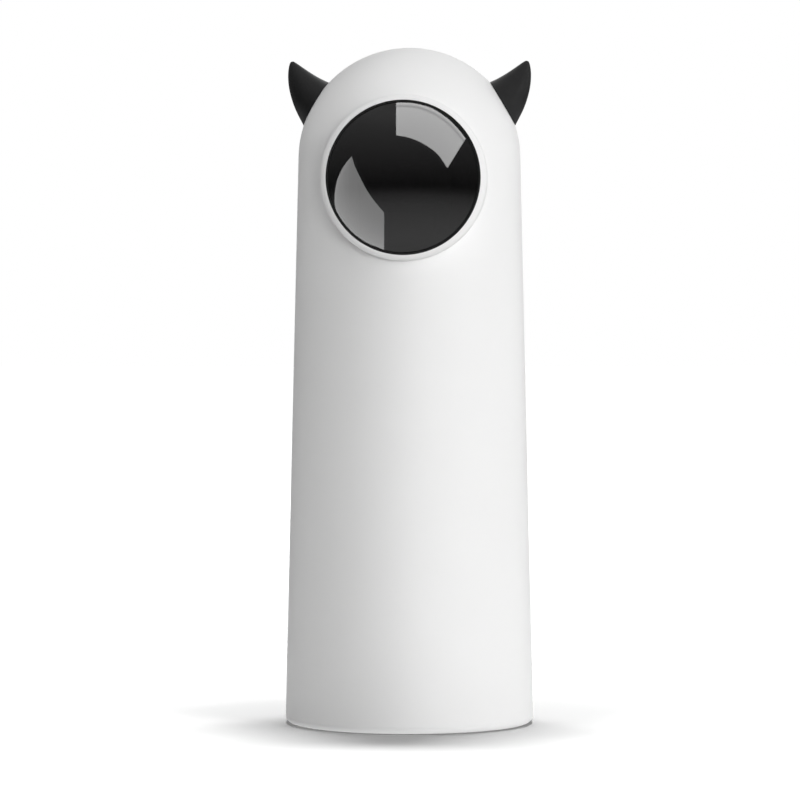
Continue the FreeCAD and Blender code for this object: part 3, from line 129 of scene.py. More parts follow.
def ranged(tree, value, low, high, from_low=0.3, from_high=0.7):
    """A value that goes from low to high while the given one goes from from_low to from_high."""
    node = tree.nodes.new("ShaderNodeMapRange")
    node.inputs["From Min"].default_value = from_low
    node.inputs["From Max"].default_value = from_high
    node.inputs["To Min"].default_value = low
    node.inputs["To Max"].default_value = high
    tree.links.new(value, node.inputs["Value"])
    return node.outputs["Result"]


def blended(tree, value, first, second, from_low=0.3, from_high=0.7):
    """The colour first where value is low and second where it is high."""
    node = tree.nodes.new("ShaderNodeMix")
    node.data_type = "RGBA"
    node.inputs["A"].default_value = (*first, 1)
    node.inputs["B"].default_value = (*second, 1)
    tree.links.new(ranged(tree, value, 0.0, 1.0, from_low, from_high), node.inputs["Factor"])
    return node.outputs["Result"]


def painted(tree, shader, colour, roughness):
    """Colour and roughness into the shader."""
    tree.links.new(colour, shader.inputs["Base Color"])
    tree.links.new(roughness, shader.inputs["Roughness"])


def bumped(tree, shader, *layers):
    """Bump layers, each (height, depth, strength), one on the other."""
    normal = None
    for height, depth, strength in layers:
        bump = tree.nodes.new("ShaderNodeBump")
        bump.inputs["Distance"].default_value = depth
        bump.inputs["Strength"].default_value = strength
        tree.links.new(height, bump.inputs["Height"])
        if normal:
            tree.links.new(normal, bump.inputs["Normal"])
        normal = bump.outputs["Normal"]
    tree.links.new(normal, shader.inputs["Normal"])


def moulded(name, colour, shade, roughness, spread=0.04, grain=2600, depth=0.02, level=0.5, broad=45):
    """Injection-moulded plastic: spark-eroded grain, slow sink waves and a slightly uneven tone.
    grain and broad are in waves a metre, and depth, of the grain, is in mm."""
    material, tree, shader, place = node_material(name)
    slow = noise(tree, place, broad, 2.0)
    fine = noise(tree, place, grain, 3.0, 0.6)
    wear = noise(tree, place, grain / 9, 3.0)
    painted(tree, shader, blended(tree, slow, colour, shade),
            ranged(tree, wear, roughness - spread, roughness + spread))
    shader.inputs["Specular IOR Level"].default_value = level
    bumped(tree, shader, (slow, 0.03 * MM, 0.25), (fine, depth * MM, 0.35))
    return material


def metal(name, colour, shade, roughness, stretch=(1, 1, 1), scale=900, depth=0.01, spread=0.08):
    """Metal with turned or drawn marks across the axis that stretch makes larger. depth is in mm."""
    material, tree, shader, place = node_material(name)
    marks = noise(tree, place, scale, 4.0, 0.65, stretch)
    stain = noise(tree, place, 160, 3.0, 0.6)
    painted(tree, shader, blended(tree, stain, colour, shade),
            ranged(tree, marks, roughness - spread, roughness + spread))
    shader.inputs["Metallic"].default_value = 1.0
    bumped(tree, shader, (marks, depth * MM, 0.4))
    return material


def rubber(name, colour, shade, roughness, grain=1800, depth=0.05, level=0.35):
    """Rubber or soft plastic: a matt grain, and shade where dust has settled. depth is in mm."""
    material, tree, shader, place = node_material(name)
    fine = noise(tree, place, grain, 4.0, 0.7)
    dust = noise(tree, place, 120, 4.0, 0.6)
    painted(tree, shader, blended(tree, dust, colour, shade, 0.35, 0.75),
            ranged(tree, dust, roughness - 0.05, roughness + 0.05))
    shader.inputs["Specular IOR Level"].default_value = level
    bumped(tree, shader, (fine, depth * MM, 0.5))
    return material


def clear(name, colour, alpha, ior):
    """Clear resin or glass with faint flow marks."""
    material, tree, shader, place = node_material(name)
    flow = noise(tree, place, 300, 2.0)
    painted(tree, shader, blended(tree, flow, colour, tuple(c * 0.94 for c in colour)),
            ranged(tree, flow, 0.05, 0.14))
    shader.inputs["IOR"].default_value = ior
    shader.inputs["Alpha"].default_value = alpha
    bumped(tree, shader, (flow, 0.01 * MM, 0.2))
    return material


def shell_white():
    """Matt white ABS with a fine grain, a little uneven in tone and gloss."""
    material, tree, shader, place = node_material("shell_white_moulded")
    slow = noise(tree, place, 28, 2.0)
    grain = noise(tree, place, 3200, 3.0, 0.6)
    speck = noise(tree, place, 900, 2.0, 0.5)
    painted(tree, shader, blended(tree, slow, (0.842, 0.842, 0.840), (0.856, 0.856, 0.854)),
            ranged(tree, speck, 0.46, 0.54))
    shader.inputs["Specular IOR Level"].default_value = 0.32
    bumped(tree, shader, (slow, 0.05 * MM, 0.12), (grain, 0.012 * MM, 0.22))
    return material


def window_smoke():
    """Polished smoked acrylic: dark, clear enough to pass the beam, with the faintest flow marks."""
    material, tree, shader, place = node_material("window_smoke_polished")
    flow = noise(tree, place, 55, 2.0, 0.4)
    painted(tree, shader, blended(tree, flow, (0.0035, 0.0035, 0.0038), (0.0050, 0.0050, 0.0053)),
            ranged(tree, flow, 0.010, 0.022))
    shader.inputs["IOR"].default_value = 1.56
    shader.inputs["Alpha"].default_value = 0.88
    bumped(tree, shader, (flow, 0.004 * MM, 0.10))
    return material


def circuit_board():
    """Green solder mask over copper tracks that show as a faint relief."""
    material, tree, shader, place = node_material("board_green_masked")
    tracks = tree.nodes.new("ShaderNodeTexBrick")
    tracks.inputs["Scale"].default_value = 190
    tracks.inputs["Mortar Size"].default_value = 0.06
    tracks.inputs["Mortar Smooth"].default_value = 0.2
    tracks.inputs["Color1"].default_value = (0.004, 0.070, 0.026, 1)
    tracks.inputs["Color2"].default_value = (0.006, 0.090, 0.034, 1)
    tracks.inputs["Mortar"].default_value = (0.012, 0.150, 0.060, 1)
    mapping = tree.nodes.new("ShaderNodeMapping")
    mapping.inputs["Rotation"].default_value = (math.radians(90), 0, 0)
    tree.links.new(place, mapping.inputs["Vector"])
    tree.links.new(mapping.outputs["Vector"], tracks.inputs["Vector"])
    weave = noise(tree, place, 1500, 2.0)
    painted(tree, shader, tracks.outputs["Color"], ranged(tree, weave, 0.28, 0.40))
    bumped(tree, shader, (tracks.outputs["Fac"], 0.03 * MM, 0.5), (weave, 0.01 * MM, 0.3))
    return material


def cell_wrap():
    """Shrink sleeve of the cell, with small wrinkles round it."""
    material, tree, shader, place = node_material("cell_wrap_shrunk")
    wrinkle = noise(tree, place, 220, 3.0, 0.55, (1, 1, 3.2), 0.6)
    tone = noise(tree, place, 60, 2.0)
    painted(tree, shader, blended(tree, tone, (0.016, 0.090, 0.300), (0.022, 0.115, 0.360)),
            ranged(tree, wrinkle, 0.20, 0.34))
    bumped(tree, shader, (wrinkle, 0.06 * MM, 0.35))
    return material


def foam():
    """Open-cell foam, with painted shade in its pores."""
    material, tree, shader, place = node_material("cell_foam_open")
    pores = tree.nodes.new("ShaderNodeTexVoronoi")
    pores.inputs["Scale"].default_value = 2400
    tree.links.new(place, pores.inputs["Vector"])
    from_pore = pores.outputs["Distance"]
    # painted shade: darker towards the middle of each pore
    painted(tree, shader, blended(tree, from_pore, (0.05, 0.05, 0.05), (0.13, 0.13, 0.13), 0.0, 0.7),
            ranged(tree, from_pore, 0.85, 0.98, 0.0, 0.7))
    bumped(tree, shader, (from_pore, 0.15 * MM, 0.8))
    return material


LOOKS = {
    "shell_white": shell_white(),
    "window_smoke": window_smoke(),
    "horn_black": moulded("horn_black_satin", (0.0070, 0.0070, 0.0074), (0.0095, 0.0095, 0.0099), 0.36,
                          0.05, 2800, 0.015, 0.36, 90),
    "gasket_black": rubber("gasket_black_moulded", (0.0060, 0.0060, 0.0062), (0.0100, 0.0100, 0.0102),
                           0.60, 2600, 0.02, 0.25),
    "foot_rubber": rubber("foot_rubber_moulded", (0.055, 0.055, 0.056), (0.085, 0.085, 0.086), 0.82),
    "chassis_grey": moulded("chassis_grey_moulded", (0.27, 0.28, 0.29), (0.31, 0.32, 0.33), 0.55),
    "gear_white": moulded("gear_white_acetal", (0.78, 0.78, 0.74), (0.72, 0.72, 0.68), 0.34),
    "screw_steel": metal("screw_steel_zinc", (0.62, 0.62, 0.60), (0.48, 0.48, 0.47), 0.32),
    "motor_steel": metal("motor_steel_plated", (0.60, 0.60, 0.59), (0.50, 0.50, 0.49), 0.36,
                         (1, 1, 6), 500),
    "shaft_steel": metal("shaft_steel_ground", (0.66, 0.65, 0.63), (0.56, 0.55, 0.54), 0.20,
                         (1, 1, 8), 700),
    "cell_wrap": cell_wrap(),
    "cell_foam": foam(),
    "lead_red": rubber("lead_red_pvc", (0.52, 0.012, 0.010), (0.60, 0.020, 0.016), 0.42,
                       900, 0.02, 0.5),
    "board_green": circuit_board(),
    "chip_black": moulded("chip_black_epoxy", (0.016, 0.016, 0.017), (0.026, 0.026, 0.027), 0.58,
                          0.05, 3600),
    "connector_ivory": moulded("connector_ivory_nylon", (0.72, 0.66, 0.50), (0.66, 0.60, 0.45), 0.40),
    "pin_gold": metal("pin_gold_plated", (0.86, 0.61, 0.22), (0.76, 0.53, 0.19), 0.24),
    "port_steel": metal("port_steel_nickel", (0.58, 0.57, 0.55), (0.48, 0.47, 0.46), 0.28,
                        (1, 6, 1), 900),
    "button_white": moulded("button_white_moulded", (0.82, 0.82, 0.82), (0.79, 0.79, 0.79), 0.36,
                            0.03, 3000, 0.006, 0.4),
    "light_clear": clear("light_clear_frosted", (0.80, 0.83, 0.86), 0.62, 1.49),
    "led_white": moulded("led_white_resin", (0.82, 0.80, 0.66), (0.78, 0.75, 0.60), 0.35),
    "motor_terminal_blue": moulded("motor_terminal_blue_abs", (0.030, 0.160, 0.420),
                                   (0.022, 0.130, 0.360), 0.42),
    "washer_ptfe": moulded("washer_ptfe_cut", (0.84, 0.84, 0.82), (0.78, 0.78, 0.76), 0.44),
    "laser_brass": metal("laser_brass_turned", (0.74, 0.54, 0.24), (0.62, 0.44, 0.19), 0.30,
                         (1, 7, 1), 800),
    "laser_glass": clear("laser_glass_coated", (0.30, 0.42, 0.58), 0.45, 1.60),
}
MARK_INK = moulded("mark_grey_ink", (0.115, 0.115, 0.118), (0.135, 0.135, 0.138), 0.52,
                   0.05, 4200, 0.004, 0.35)

for node in NODES.values():
    slot_name = node.material_slots[0].material.name.split(".")[0]
    for material_slot in node.material_slots:
        material_slot.material = LOOKS[slot_name]


# ---------------------------------------------------------------- pieces
def finished(name, made, material, body=None, sharp=30):
    """A mesh object from a bmesh, shaded smooth but for its sharp edges, riding on a body if it has one."""
    mesh = bpy.data.meshes.new(name)
    made.to_mesh(mesh)
    made.free()
    mesh.materials.append(material)
    mesh.shade_smooth()
    mesh.set_sharp_from_angle(angle=math.radians(sharp))
    piece = bpy.data.objects.new(name, mesh)
    bpy.context.scene.collection.objects.link(piece)
    if body:
        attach(piece, body)
    return piece


def turned(profile, steps, centre):
    """A bmesh turned about Y from (radius, along) points. A radius of 0 closes it in a point."""
    made = bmesh.new()
    rings = []
    for radius, along in profile:
        if radius < TINY:
            rings.append([made.verts.new(centre + Vector((0, along, 0)))])
            continue
        ring = []
        for i in range(steps):
            a = 2 * math.pi * i / steps
            spot = Vector((radius * math.cos(a), along, radius * math.sin(a)))
            ring.append(made.verts.new(centre + spot))
        rings.append(ring)
    for first, second in zip(rings, rings[1:]):
        for i in range(steps):
            j = (i + 1) % steps
            if len(first) == 1:
                made.faces.new((first[0], second[j], second[i]))
            elif len(second) == 1:
                made.faces.new((first[i], first[j], second[0]))
            else:
                made.faces.new((first[i], first[j], second[j], second[i]))
    bmesh.ops.recalc_face_normals(made, faces=made.faces)
    return made


def skinned(made, rows):
    """Faces between the neighbouring rows of a grid of vertices."""
    for row, after in zip(rows, rows[1:]):
        for i in range(len(row) - 1):
            made.faces.new((row[i], row[i + 1], after[i + 1], after[i]))


def sphere_rings(radius, edge, count):
    """(ring radius, depth behind the sphere's front) from the middle out to the ring radius edge."""
    reach = math.asin(edge / radius)
    return [(radius * math.sin(reach * i / count), radius * (1 - math.cos(reach * i / count)))
            for i in range(count + 1)]


# Window: a domed cap with a flange, polished both sides.
DOME_STEPS = 288
OUTER_RINGS = 72
INNER_RINGS = 60
inner_r = SPHERE_R - WALL
inner_edge = math.sqrt(inner_r ** 2 - (SPHERE_CENTRE.y - FLANGE_BACK) ** 2)
outline = [(r, WINDOW_FRONT + d) for r, d in sphere_rings(SPHERE_R, WINDOW_R, OUTER_RINGS)]
outline += [(FLANGE_R - FLANGE_SOFT, FLANGE_FRONT), (FLANGE_R, FLANGE_FRONT + FLANGE_SOFT),
            (FLANGE_R, FLANGE_BACK - FLANGE_SOFT), (FLANGE_R - FLANGE_SOFT, FLANGE_BACK)]
outline += [(r, WINDOW_FRONT + WALL + d)
            for r, d in reversed(sphere_rings(inner_r, inner_edge, INNER_RINGS))]
window = finished("window_dome", turned(outline, DOME_STEPS, Vector((0, 0, WINDOW_Z))),
                  LOOKS["window_smoke"], "tower")
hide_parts("smoked_window")


def raised_line(path, half, base, top, soft):
    """A strip along a line of (x, z) points, from y base to y top, its upper edges broken by soft."""
    made = bmesh.new()
    profile = ((-half, base), (-half, top - soft), (-half + soft, top),
               (half - soft, top), (half, top - soft), (half, base))
    sections = []
    for i, (x, z) in enumerate(path):
        x0, z0 = path[max(i - 1, 0)]
        x1, z1 = path[min(i + 1, len(path) - 1)]
        long = math.hypot(x1 - x0, z1 - z0)
        nx, nz = -(z1 - z0) / long, (x1 - x0) / long
        sections.append([made.verts.new((x + nx * across, y, z + nz * across)) for across, y in profile])
    for first, second in zip(sections, sections[1:]):
        for k in range(len(profile)):
            j = (k + 1) % len(profile)
            made.faces.new((first[k], first[j], second[j], second[k]))
    made.faces.new(sections[0])
    made.faces.new(list(reversed(sections[-1])))
    bmesh.ops.recalc_face_normals(made, faces=made.faces)
    return made


# The button's mark: an open ring with a bar in the opening, pad-printed grey.
button_low, button_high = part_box("power_button")
BUTTON_Z = (button_low.z + button_high.z) / 2
BUTTON_FACE = button_high.y
MARK_R = 1.9 * MM
MARK_HALF = 0.17 * MM  # half the line's width
MARK_SUNK = 0.05 * MM  # into the cap
MARK_PROUD = 0.02 * MM  # over the cap
MARK_SOFT = 0.012 * MM
OPEN_HALF = math.radians(34)  # half the ring's opening
ARC_STEPS = 72
BAR_LOW = 0.45 * MM  # the bar's ends, over the button's middle
BAR_HIGH = 2.35 * MM
BAR_STEPS = 12


def button_mark(name, path):
    """One line of the mark, printed on the cap."""
    strip = raised_line(path, MARK_HALF, BUTTON_FACE - MARK_SUNK, BUTTON_FACE + MARK_PROUD, MARK_SOFT)
    finished(name, strip, MARK_INK, "button")


arc = [OPEN_HALF + (2 * math.pi - 2 * OPEN_HALF) * i / ARC_STEPS for i in range(ARC_STEPS + 1)]
button_mark("button_mark_ring", [(MARK_R * math.sin(a), BUTTON_Z + MARK_R * math.cos(a)) for a in arc])
button_mark("button_mark_bar", [(0.0, BUTTON_Z + BAR_LOW + (BAR_HIGH - BAR_LOW) * i / BAR_STEPS)
                                for i in range(BAR_STEPS + 1)])

# Gold contacts of the socket, on both sides of the tongue.
CONTACTS = 12
LONG_CONTACTS = (0, 3, 8, 11)  # ground and power, which meet the plug first
CONTACT_PITCH = 0.5 * MM
CONTACT_HALF = 0.13 * MM  # half its width
CONTACT_SOFT = 0.015 * MM
CONTACT_PROUD = 0.03 * MM
CONTACT_SUNK = 0.05 * MM
CONTACT_START = 1.2 * MM  # from the tongue's root
LONG_END = 0.35 * MM  # from the tongue's tip
SHORT_END = 0.75 * MM
SLOPE_LENGTH = 0.12 * MM  # where it dips into the tongue
SLOPE_DROP = 0.05 * MM
tongue_low, tongue_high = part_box("usb_tongue")
contacts = bmesh.new()
for outwards, face_z in ((-1, tongue_low.z), (1, tongue_high.z)):
    lift = face_z + outwards * CONTACT_PROUD
    sunk = face_z - outwards * CONTACT_SUNK
    for i in range(CONTACTS):
        x = (i - (CONTACTS - 1) / 2) * CONTACT_PITCH
        start = tongue_low.y + CONTACT_START
        end = tongue_high.y - (LONG_END if i in LONG_CONTACTS else SHORT_END)
        rows = []
        for y, inset, z in ((start, 0.0, sunk), (start, 0.0, lift - outwards * CONTACT_SOFT),
                            (start + CONTACT_SOFT, CONTACT_SOFT, lift),
                            (end - SLOPE_LENGTH, CONTACT_SOFT, lift),
                            (end, CONTACT_SOFT, lift - outwards * SLOPE_DROP), (end, 0.0, sunk)):
            rows.append((contacts.verts.new((x - CONTACT_HALF + inset, y, z)),
                         contacts.verts.new((x + CONTACT_HALF - inset, y, z))))
        for (a, b), (c, d) in zip(rows, rows[1:] + rows[:1]):
            contacts.faces.new((a, b, d, c))
        contacts.faces.new([a for a, b in rows])
        contacts.faces.new([b for a, b in reversed(rows)])
bmesh.ops.recalc_face_normals(contacts, faces=contacts.faces)
finished("usb_contacts", contacts, LOOKS["pin_gold"], "tower")


# ---------------------------------------------------------------- parts of stage materials
def stage_material(name):
    """A new material with an empty node tree and its output."""
    material = bpy.data.materials.new(name)
    material.use_nodes = True
    tree = material.node_tree
    tree.nodes.clear()
    return material, tree, tree.nodes.new("ShaderNodeOutputMaterial")


def worked_out(tree, operation, first, second):
    """One operation on two values, each a node's output or a float."""
    node = tree.nodes.new("ShaderNodeMath")
    node.operation = operation
    for place, value in ((0, first), (1, second)):
        if isinstance(value, float):
            node.inputs[place].default_value = value
        else:
            tree.links.new(value, node.inputs[place])
    return node.outputs["Value"]


def glowing(tree, strength):
    """White light, as strong as a node's output says."""
    node = tree.nodes.new("ShaderNodeEmission")
    tree.links.new(strength, node.inputs["Strength"])
    return node.outputs["Emission"]


def background(tree, strength):
    """A white sky of this strength."""
    node = tree.nodes.new("ShaderNodeBackground")
    node.inputs["Color"].default_value = (1, 1, 1, 1)
    node.inputs["Strength"].default_value = strength
    return node.outputs["Background"]


def see_through(tree):
    return tree.nodes.new("ShaderNodeBsdfTransparent").outputs["BSDF"]


def added(tree, first, second):
    """Both shaders on top of each other."""
    node = tree.nodes.new("ShaderNodeAddShader")
    tree.links.new(first, node.inputs[0])
    tree.links.new(second, node.inputs[1])
    return node.outputs["Shader"]


def chosen(tree, factor, first, second):
    """The first shader where factor is 0 and the second where it is 1."""
    node = tree.nodes.new("ShaderNodeMixShader")
    tree.links.new(factor, node.inputs["Fac"])
    tree.links.new(first, node.inputs[1])
    tree.links.new(second, node.inputs[2])
    return node.outputs["Shader"]


# ---------------------------------------------------------------- floor and world
FLOOR_SIZE = 12.0
FLOOR_GRID = 8
PAPER = 0.25  # the floor's tone to the camera
FIBRE = 0.01  # how far the fibres go from it, as a share
BOUNCE = 0.158  # the floor's tone where it lights the object
FOOT_R = (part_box("body_shell")[1].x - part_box("body_shell")[0].x) / 2
HOLE_R = FOOT_R + 0.8 * MM  # where the paper lets the lamp below through
# What the camera sees of the floor is lit up by these levels at these distances from the tower's axis. This
# glow is painted light: kept low next to the foot it paints darker shade round the base, and its rise
# outwards whitens the faint ends of the shadow.
FOOT_GLOW, FOOT_REACH = 0.03, 0.031
NEAR_GLOW, NEAR_REACH = 0.16, 0.065
FAR_GLOW, FAR_REACH = 0.84, 0.90  # on top of the near one
# painted light on the paper under the tower's edge, lightening the shade in the gap beneath it
UNDER_PAINTED_LIGHT = 0.09  # below the tower, and gone just outside it
UNDER_FADE = (FOOT_R - 0.5 * MM, FOOT_R + 0.6 * MM)


def floor_material():
    """Matt paper. The camera sees it go to white away from the object, with the object's shadow on it,
    painted shade added round the base and painted light under its edge.
    """
    material, tree, output = stage_material("floor_paper")
    place = tree.nodes.new("ShaderNodeTexCoord").outputs["Object"]
    to_camera = tree.nodes.new("ShaderNodeLightPath").outputs["Is Camera Ray"]
    fibre = noise(tree, place, 1400, 3.0, 0.6)
    tone = tree.nodes.new("ShaderNodeMix")
    tone.data_type = "RGBA"
    tone.inputs["A"].default_value = (BOUNCE, BOUNCE, BOUNCE, 1)
    seen_tone = blended(tree, fibre, (PAPER * (1 - FIBRE),) * 3, (PAPER * (1 + FIBRE),) * 3)
    tree.links.new(seen_tone, tone.inputs["B"])
    tree.links.new(to_camera, tone.inputs["Factor"])
    paper = tree.nodes.new("ShaderNodeBsdfDiffuse")
    tree.links.new(tone.outputs["Result"], paper.inputs["Color"])
    length = tree.nodes.new("ShaderNodeVectorMath")
    length.operation = "LENGTH"
    tree.links.new(place, length.inputs[0])
    away = length.outputs["Value"]
    # painted shade: the glow is weakest next to the foot, so the floor round the base reads darker than its
    # lamps alone make it
    near = ranged(tree, away, FOOT_GLOW, NEAR_GLOW, FOOT_REACH, NEAR_REACH)
    far = ranged(tree, away, 0.0, FAR_GLOW, NEAR_REACH, FAR_REACH)
    # painted light under the tower's edge, which lightens the shade in the gap beneath it
    under = ranged(tree, away, UNDER_PAINTED_LIGHT, 0.0, *UNDER_FADE)
    total = worked_out(tree, "ADD", worked_out(tree, "ADD", near, far), under)
    glow = glowing(tree, worked_out(tree, "MULTIPLY", to_camera, total))
    # From below it lets everything through, and under the object it lets the lamp below reach the base.
    in_hole = worked_out(tree, "LESS_THAN", away, HOLE_R)
    lamp_hole = worked_out(tree, "GREATER_THAN", in_hole, to_camera)
    from_below = tree.nodes.new("ShaderNodeNewGeometry").outputs["Backfacing"]
    open_to = worked_out(tree, "MAXIMUM", from_below, lamp_hole)
    surface = chosen(tree, open_to, added(tree, paper.outputs["BSDF"], glow), see_through(tree))
    tree.links.new(surface, output.inputs["Surface"])
    return material


floor_mesh = bmesh.new()
bmesh.ops.create_grid(floor_mesh, x_segments=FLOOR_GRID, y_segments=FLOOR_GRID, size=FLOOR_SIZE / 2)
floor = finished("floor", floor_mesh, floor_material())

# World: white to the camera and in reflections, a plain level for everything it lights.
AMBIENT = 0.118
world = bpy.data.worlds.new("studio")
bpy.context.scene.world = world
world.use_nodes = True
sky = world.node_tree
sky.nodes.clear()
rays = sky.nodes.new("ShaderNodeLightPath").outputs
seen_or_mirrored = worked_out(sky, "MAXIMUM", rays["Is Camera Ray"], rays["Is Glossy Ray"])
shown = worked_out(sky, "MAXIMUM", seen_or_mirrored, rays["Is Transmission Ray"])
sky_light = chosen(sky, shown, background(sky, AMBIENT), background(sky, 1.0))
sky.links.new(sky_light, sky.nodes.new("ShaderNodeOutputWorld").inputs["Surface"])


# ---------------------------------------------------------------- lamps
def linked(name, members, state):
    """A light-linking collection that takes in, or leaves out, these objects."""
    group = bpy.data.collections.new(name)
    for member in members:
        group.objects.link(member)
    for entry in group.collection_objects:
        entry.light_linking.link_state = state
    return group


HORNS = [NODES["horn_left"], NODES["horn_right"]]
OBJECT_ONLY = linked("object_but_window", [window, floor], "EXCLUDE")
NOT_HORNS = linked("object_but_window_and_horns", [window, floor, *HORNS], "EXCLUDE")
ONLY_HORNS = linked("only_horns", HORNS, "INCLUDE")
ONLY_FLOOR = linked("only_floor", [floor], "INCLUDE")
ONLY_WINDOW = linked("only_window", [window], "INCLUDE")
TOWER_MIDDLE = Vector((0, 0, 0.08))
FOOT = Vector((0, 0, 0))


def soft_lamp(name, azimuth, elevation, distance, width, height, watts, receivers, aim=TOWER_MIDDLE):
    """A lamp for its receivers alone, pointed at aim. Its azimuth is 0 in front and 90 on the right,
    its elevation is 0 level with aim and 90 overhead, and its power is in watts."""
    data = bpy.data.lights.new(name, "AREA")
    data.shape = "RECTANGLE"
    data.size = width
    data.size_y = height
    data.energy = watts
    lamp = bpy.data.objects.new(name, data)
    bpy.context.scene.collection.objects.link(lamp)
    a, e = math.radians(azimuth), math.radians(elevation)
    away = Vector((math.sin(a) * math.cos(e), -math.cos(a) * math.cos(e), math.sin(e)))
    lamp.location = aim + away * distance
    lamp.rotation_mode = "QUATERNION"
    lamp.rotation_quaternion = (-away).to_track_quat("-Z", "Y")
    lamp.light_linking.receiver_collection = receivers
    lamp.visible_camera = False


soft_lamp("key_lamp", 50, 16, 1.7, 1.24, 1.40, 13.7, OBJECT_ONLY)
soft_lamp("side_lamp", 75, 14, 1.7, 0.90, 1.40, 6.0, OBJECT_ONLY)
soft_lamp("front_lamp", 14, 8, 1.7, 0.46, 0.46, 8.4, OBJECT_ONLY)
soft_lamp("rim_lamp_left", -115, 12, 1.7, 0.90, 1.40, 2.6, NOT_HORNS)
soft_lamp("rim_lamp_right", 138, 10, 1.7, 0.60, 1.40, 9.1, NOT_HORNS)
soft_lamp("top_lamp", -98, 70, 1.6, 1.2, 1.2, 11.1, NOT_HORNS)
soft_lamp("horn_lamp", 84, 12, 1.7, 0.50, 1.00, 13.0, ONLY_HORNS)
soft_lamp("under_lamp", 0, -89, 1.2, 0.8, 0.8, 7.5, OBJECT_ONLY, FOOT)
soft_lamp("floor_lamp_back", 174, 83.4, 1.5, 0.38, 0.19, 60.0, ONLY_FLOOR, FOOT)
soft_lamp("floor_lamp_right", 47, 77.2, 1.5, 0.10, 0.10, 7.3, ONLY_FLOOR, FOOT)
soft_lamp("floor_lamp_front", 41, 66.7, 1.5, 0.10, 0.10, 5.8, ONLY_FLOOR, FOOT)
soft_lamp("floor_lamp_left", -38, 74.5, 1.5, 0.10, 0.10, 7.0, ONLY_FLOOR, FOOT)


# ---------------------------------------------------------------- soft boxes and flag
def shade_material(name, hides):
    """Light alone, as strong as the mesh's own attribute says. What hides lets nothing through."""
    material, tree, output = stage_material(name)
    shade = tree.nodes.new("ShaderNodeAttribute")
    shade.attribute_name = "shade"
    surface = glowing(tree, shade.outputs["Fac"])
    if not hides:
        surface = added(tree, surface, see_through(tree))
    tree.links.new(surface, output.inputs["Surface"])
    return material


def only_mirrored(thing):
    """A stage piece that shows only in reflections."""
    thing.visible_camera = False
    thing.visible_diffuse = False
    thing.visible_transmission = False
    thing.visible_shadow = False
    thing.visible_volume_scatter = False


def mirrored(px, py, reach):
    """Where the line of sight through a picture point goes from the window's face, a reach away from it."""
    origin = camera.location
    ray = sight(px, py)
    to_centre = SPHERE_CENTRE - origin
    along = to_centre.dot(ray)
    off_axis = to_centre.length_squared - along ** 2
    hit = origin + ray * (along - math.sqrt(max(SPHERE_R ** 2 - off_axis, 0.0)))
    normal = (hit - SPHERE_CENTRE).normalized()
    return hit + (ray - normal * (2 * ray.dot(normal))) * reach


SPAN_STEPS = 12


def smooth_line(points, count):
    """count + 1 points evenly along a Catmull-Rom line through the given ones."""
    ends = [tuple(2 * a - b for a, b in zip(points[0], points[1])), *points,
            tuple(2 * a - b for a, b in zip(points[-1], points[-2]))]
    dense = []
    for spans in zip(ends, ends[1:], ends[2:], ends[3:]):
        for i in range(SPAN_STEPS):
            t = i / SPAN_STEPS
            dense.append(tuple(0.5 * (2 * b + (c - a) * t + (2 * a - 5 * b + 4 * c - d) * t * t
                                      + (3 * b - a - 3 * c + d) * t ** 3)
                               for a, b, c, d in zip(*spans)))
    dense.append(points[-1])
    lengths = [0.0]
    for a, b in zip(dense, dense[1:]):
        lengths.append(lengths[-1] + math.dist(a, b))
    out, j = [], 0
    for i in range(count + 1):
        want = lengths[-1] * i / count
        while j < len(dense) - 2 and lengths[j + 1] < want:
            j += 1
        t = min(1.0, (want - lengths[j]) / max(lengths[j + 1] - lengths[j], TINY))
        out.append(tuple(a + (b - a) * t for a, b in zip(dense[j], dense[j + 1])))
    return out


CARD_STEPS = 48
SEAM_PLACE = 0.10  # from the first line to the second
SEAM_WIDTH = 0.030


def card(name, first, second, reach, low, high, bend=1.0, seam=0.0):
    """A soft box whose reflection in the window fills the strip between two lines of the picture.
    It is as bright as high at the first line and low at the second, less a seam beside the first."""
    made = bmesh.new()
    layer = made.verts.layers.float.new("shade")
    grid = []
    for (ax, ay), (bx, by) in zip(smooth_line(first, CARD_STEPS), smooth_line(second, CARD_STEPS)):
        row = []
        for i in range(CARD_STEPS + 1):
            t = i / CARD_STEPS
            vertex = made.verts.new(mirrored(ax + (bx - ax) * t, ay + (by - ay) * t, reach))
            in_seam = math.exp(-((t - SEAM_PLACE) / SEAM_WIDTH) ** 2)
            vertex[layer] = low + (high - low) * (1 - t) ** bend - seam * in_seam
            row.append(vertex)
        grid.append(row)
    skinned(made, grid)
    piece = finished(name, made, shade_material(name + "_light", hides=False))
    only_mirrored(piece)
    piece.light_linking.receiver_collection = ONLY_WINDOW


card("upper_soft_box",
     [(396.1, 103.0), (404.0, 102.8), (417.0, 103.8), (429.4, 107.6), (440.8, 113.6), (450.9, 121.4),
      (459.6, 130.6), (465.7, 138.6)],
     [(396.1, 135.3), (402.7, 136.2), (409.3, 137.7), (418.0, 141.0), (425.9, 145.2), (433.0, 150.2),
      (439.2, 156.0), (447.5, 168.1)],
     reach=0.45, low=7.5, high=8.3, seam=3.2)
card("lower_soft_box",
     [(351.8, 156.3), (346.3, 162.7), (341.1, 171.0), (337.6, 179.0), (335.5, 187.5), (334.5, 197.0),
      (335.2, 206.5), (338.6, 215.4), (346.2, 225.8), (355.7, 234.9), (366.5, 242.3), (378.5, 247.3),
      (384.1, 250.0)],
     [(351.8, 156.3), (354.0, 163.5), (355.6, 168.0), (358.7, 174.5), (361.3, 179.8), (365.6, 188.0),
      (370.6, 195.8), (376.0, 203.0), (384.1, 212.8)],
     reach=0.11, low=3.5, high=5.2, bend=2.0)


def between(table, at):
    """The table's value at a place, in straight lines between its rows."""
    if at <= table[0][0]:
        return table[0][1]
    for (a, low), (b, high) in zip(table, table[1:]):
        if at <= b:
            return low + (high - low) * (at - a) / (b - a)
    return table[-1][1]


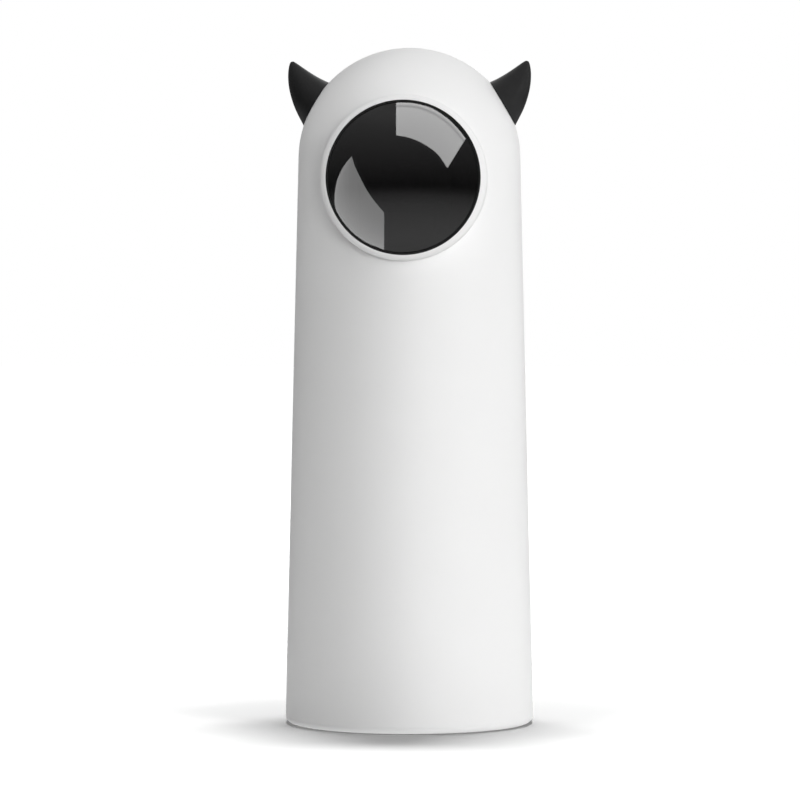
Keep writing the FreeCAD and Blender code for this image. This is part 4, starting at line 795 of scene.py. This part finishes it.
# What the window mirrors in front of it: a studio that darkens downwards, and the paper running up to it.
FLAG_R = 0.60
FLAG_TURN = 165  # how far it goes round on both sides, degrees
FLAG_COLUMNS = 72
WALL_ROWS = 48
PAPER_ROWS = 28
PAPER_START = 0.04  # from the tower's axis
PAPER_LENGTH = 0.545
PAPER_DROP = WINDOW_Z - 1.0 * MM  # from the window's middle to just over the floor
WALL_LOW = -math.degrees(math.asin(PAPER_DROP / FLAG_R))
SHADE_BY_REACH = [(0.05, 0.80), (0.10, 0.89), (0.15, 0.82), (0.194, 0.75), (0.222, 0.70), (0.256, 0.66),
                  (0.30, 0.60), (0.36, 0.50), (0.44, 0.41), (0.51, 0.33), (0.585, 0.24)]
SHADE_BY_ELEVATION = [(-12.7, 0.245), (-9.6, 0.130), (-5.6, 0.075), (-1.6, 0.105), (2.4, 0.125),
                      (6.4, 0.155), (14.4, 0.225), (22.5, 0.275), (30.7, 0.345), (39.1, 0.405),
                      (47.7, 0.475), (56.7, 0.585), (66.0, 0.650), (75.9, 0.580), (90.0, 0.50)]

flag_lines = []  # each (reach, rise, shade), outwards along the paper and then up the wall
for i in range(PAPER_ROWS):
    reach = PAPER_START + PAPER_LENGTH * i / PAPER_ROWS
    flag_lines.append((reach, -PAPER_DROP, between(SHADE_BY_REACH, reach)))
for i in range(WALL_ROWS + 1):
    elevation = WALL_LOW + (90 - WALL_LOW) * i / WALL_ROWS
    e = math.radians(elevation)
    flag_lines.append((FLAG_R * math.cos(e), FLAG_R * math.sin(e), between(SHADE_BY_ELEVATION, elevation)))
flag_mesh = bmesh.new()
shade_layer = flag_mesh.verts.layers.float.new("shade")
flag_rows = []
for reach, rise, shade in flag_lines:
    flag_row = []
    for j in range(FLAG_COLUMNS + 1):
        a = math.radians(-FLAG_TURN + 2 * FLAG_TURN * j / FLAG_COLUMNS)
        vertex = flag_mesh.verts.new((math.sin(a) * reach, -math.cos(a) * reach, rise))
        vertex[shade_layer] = shade
        flag_row.append(vertex)
    flag_rows.append(flag_row)
skinned(flag_mesh, flag_rows)
flag = finished("flag", flag_mesh, shade_material("flag_cloth", hides=True))
flag.location = UPWARDS * WINDOW_Z
only_mirrored(flag)

bpy.context.scene.view_settings.view_transform = "Standard"
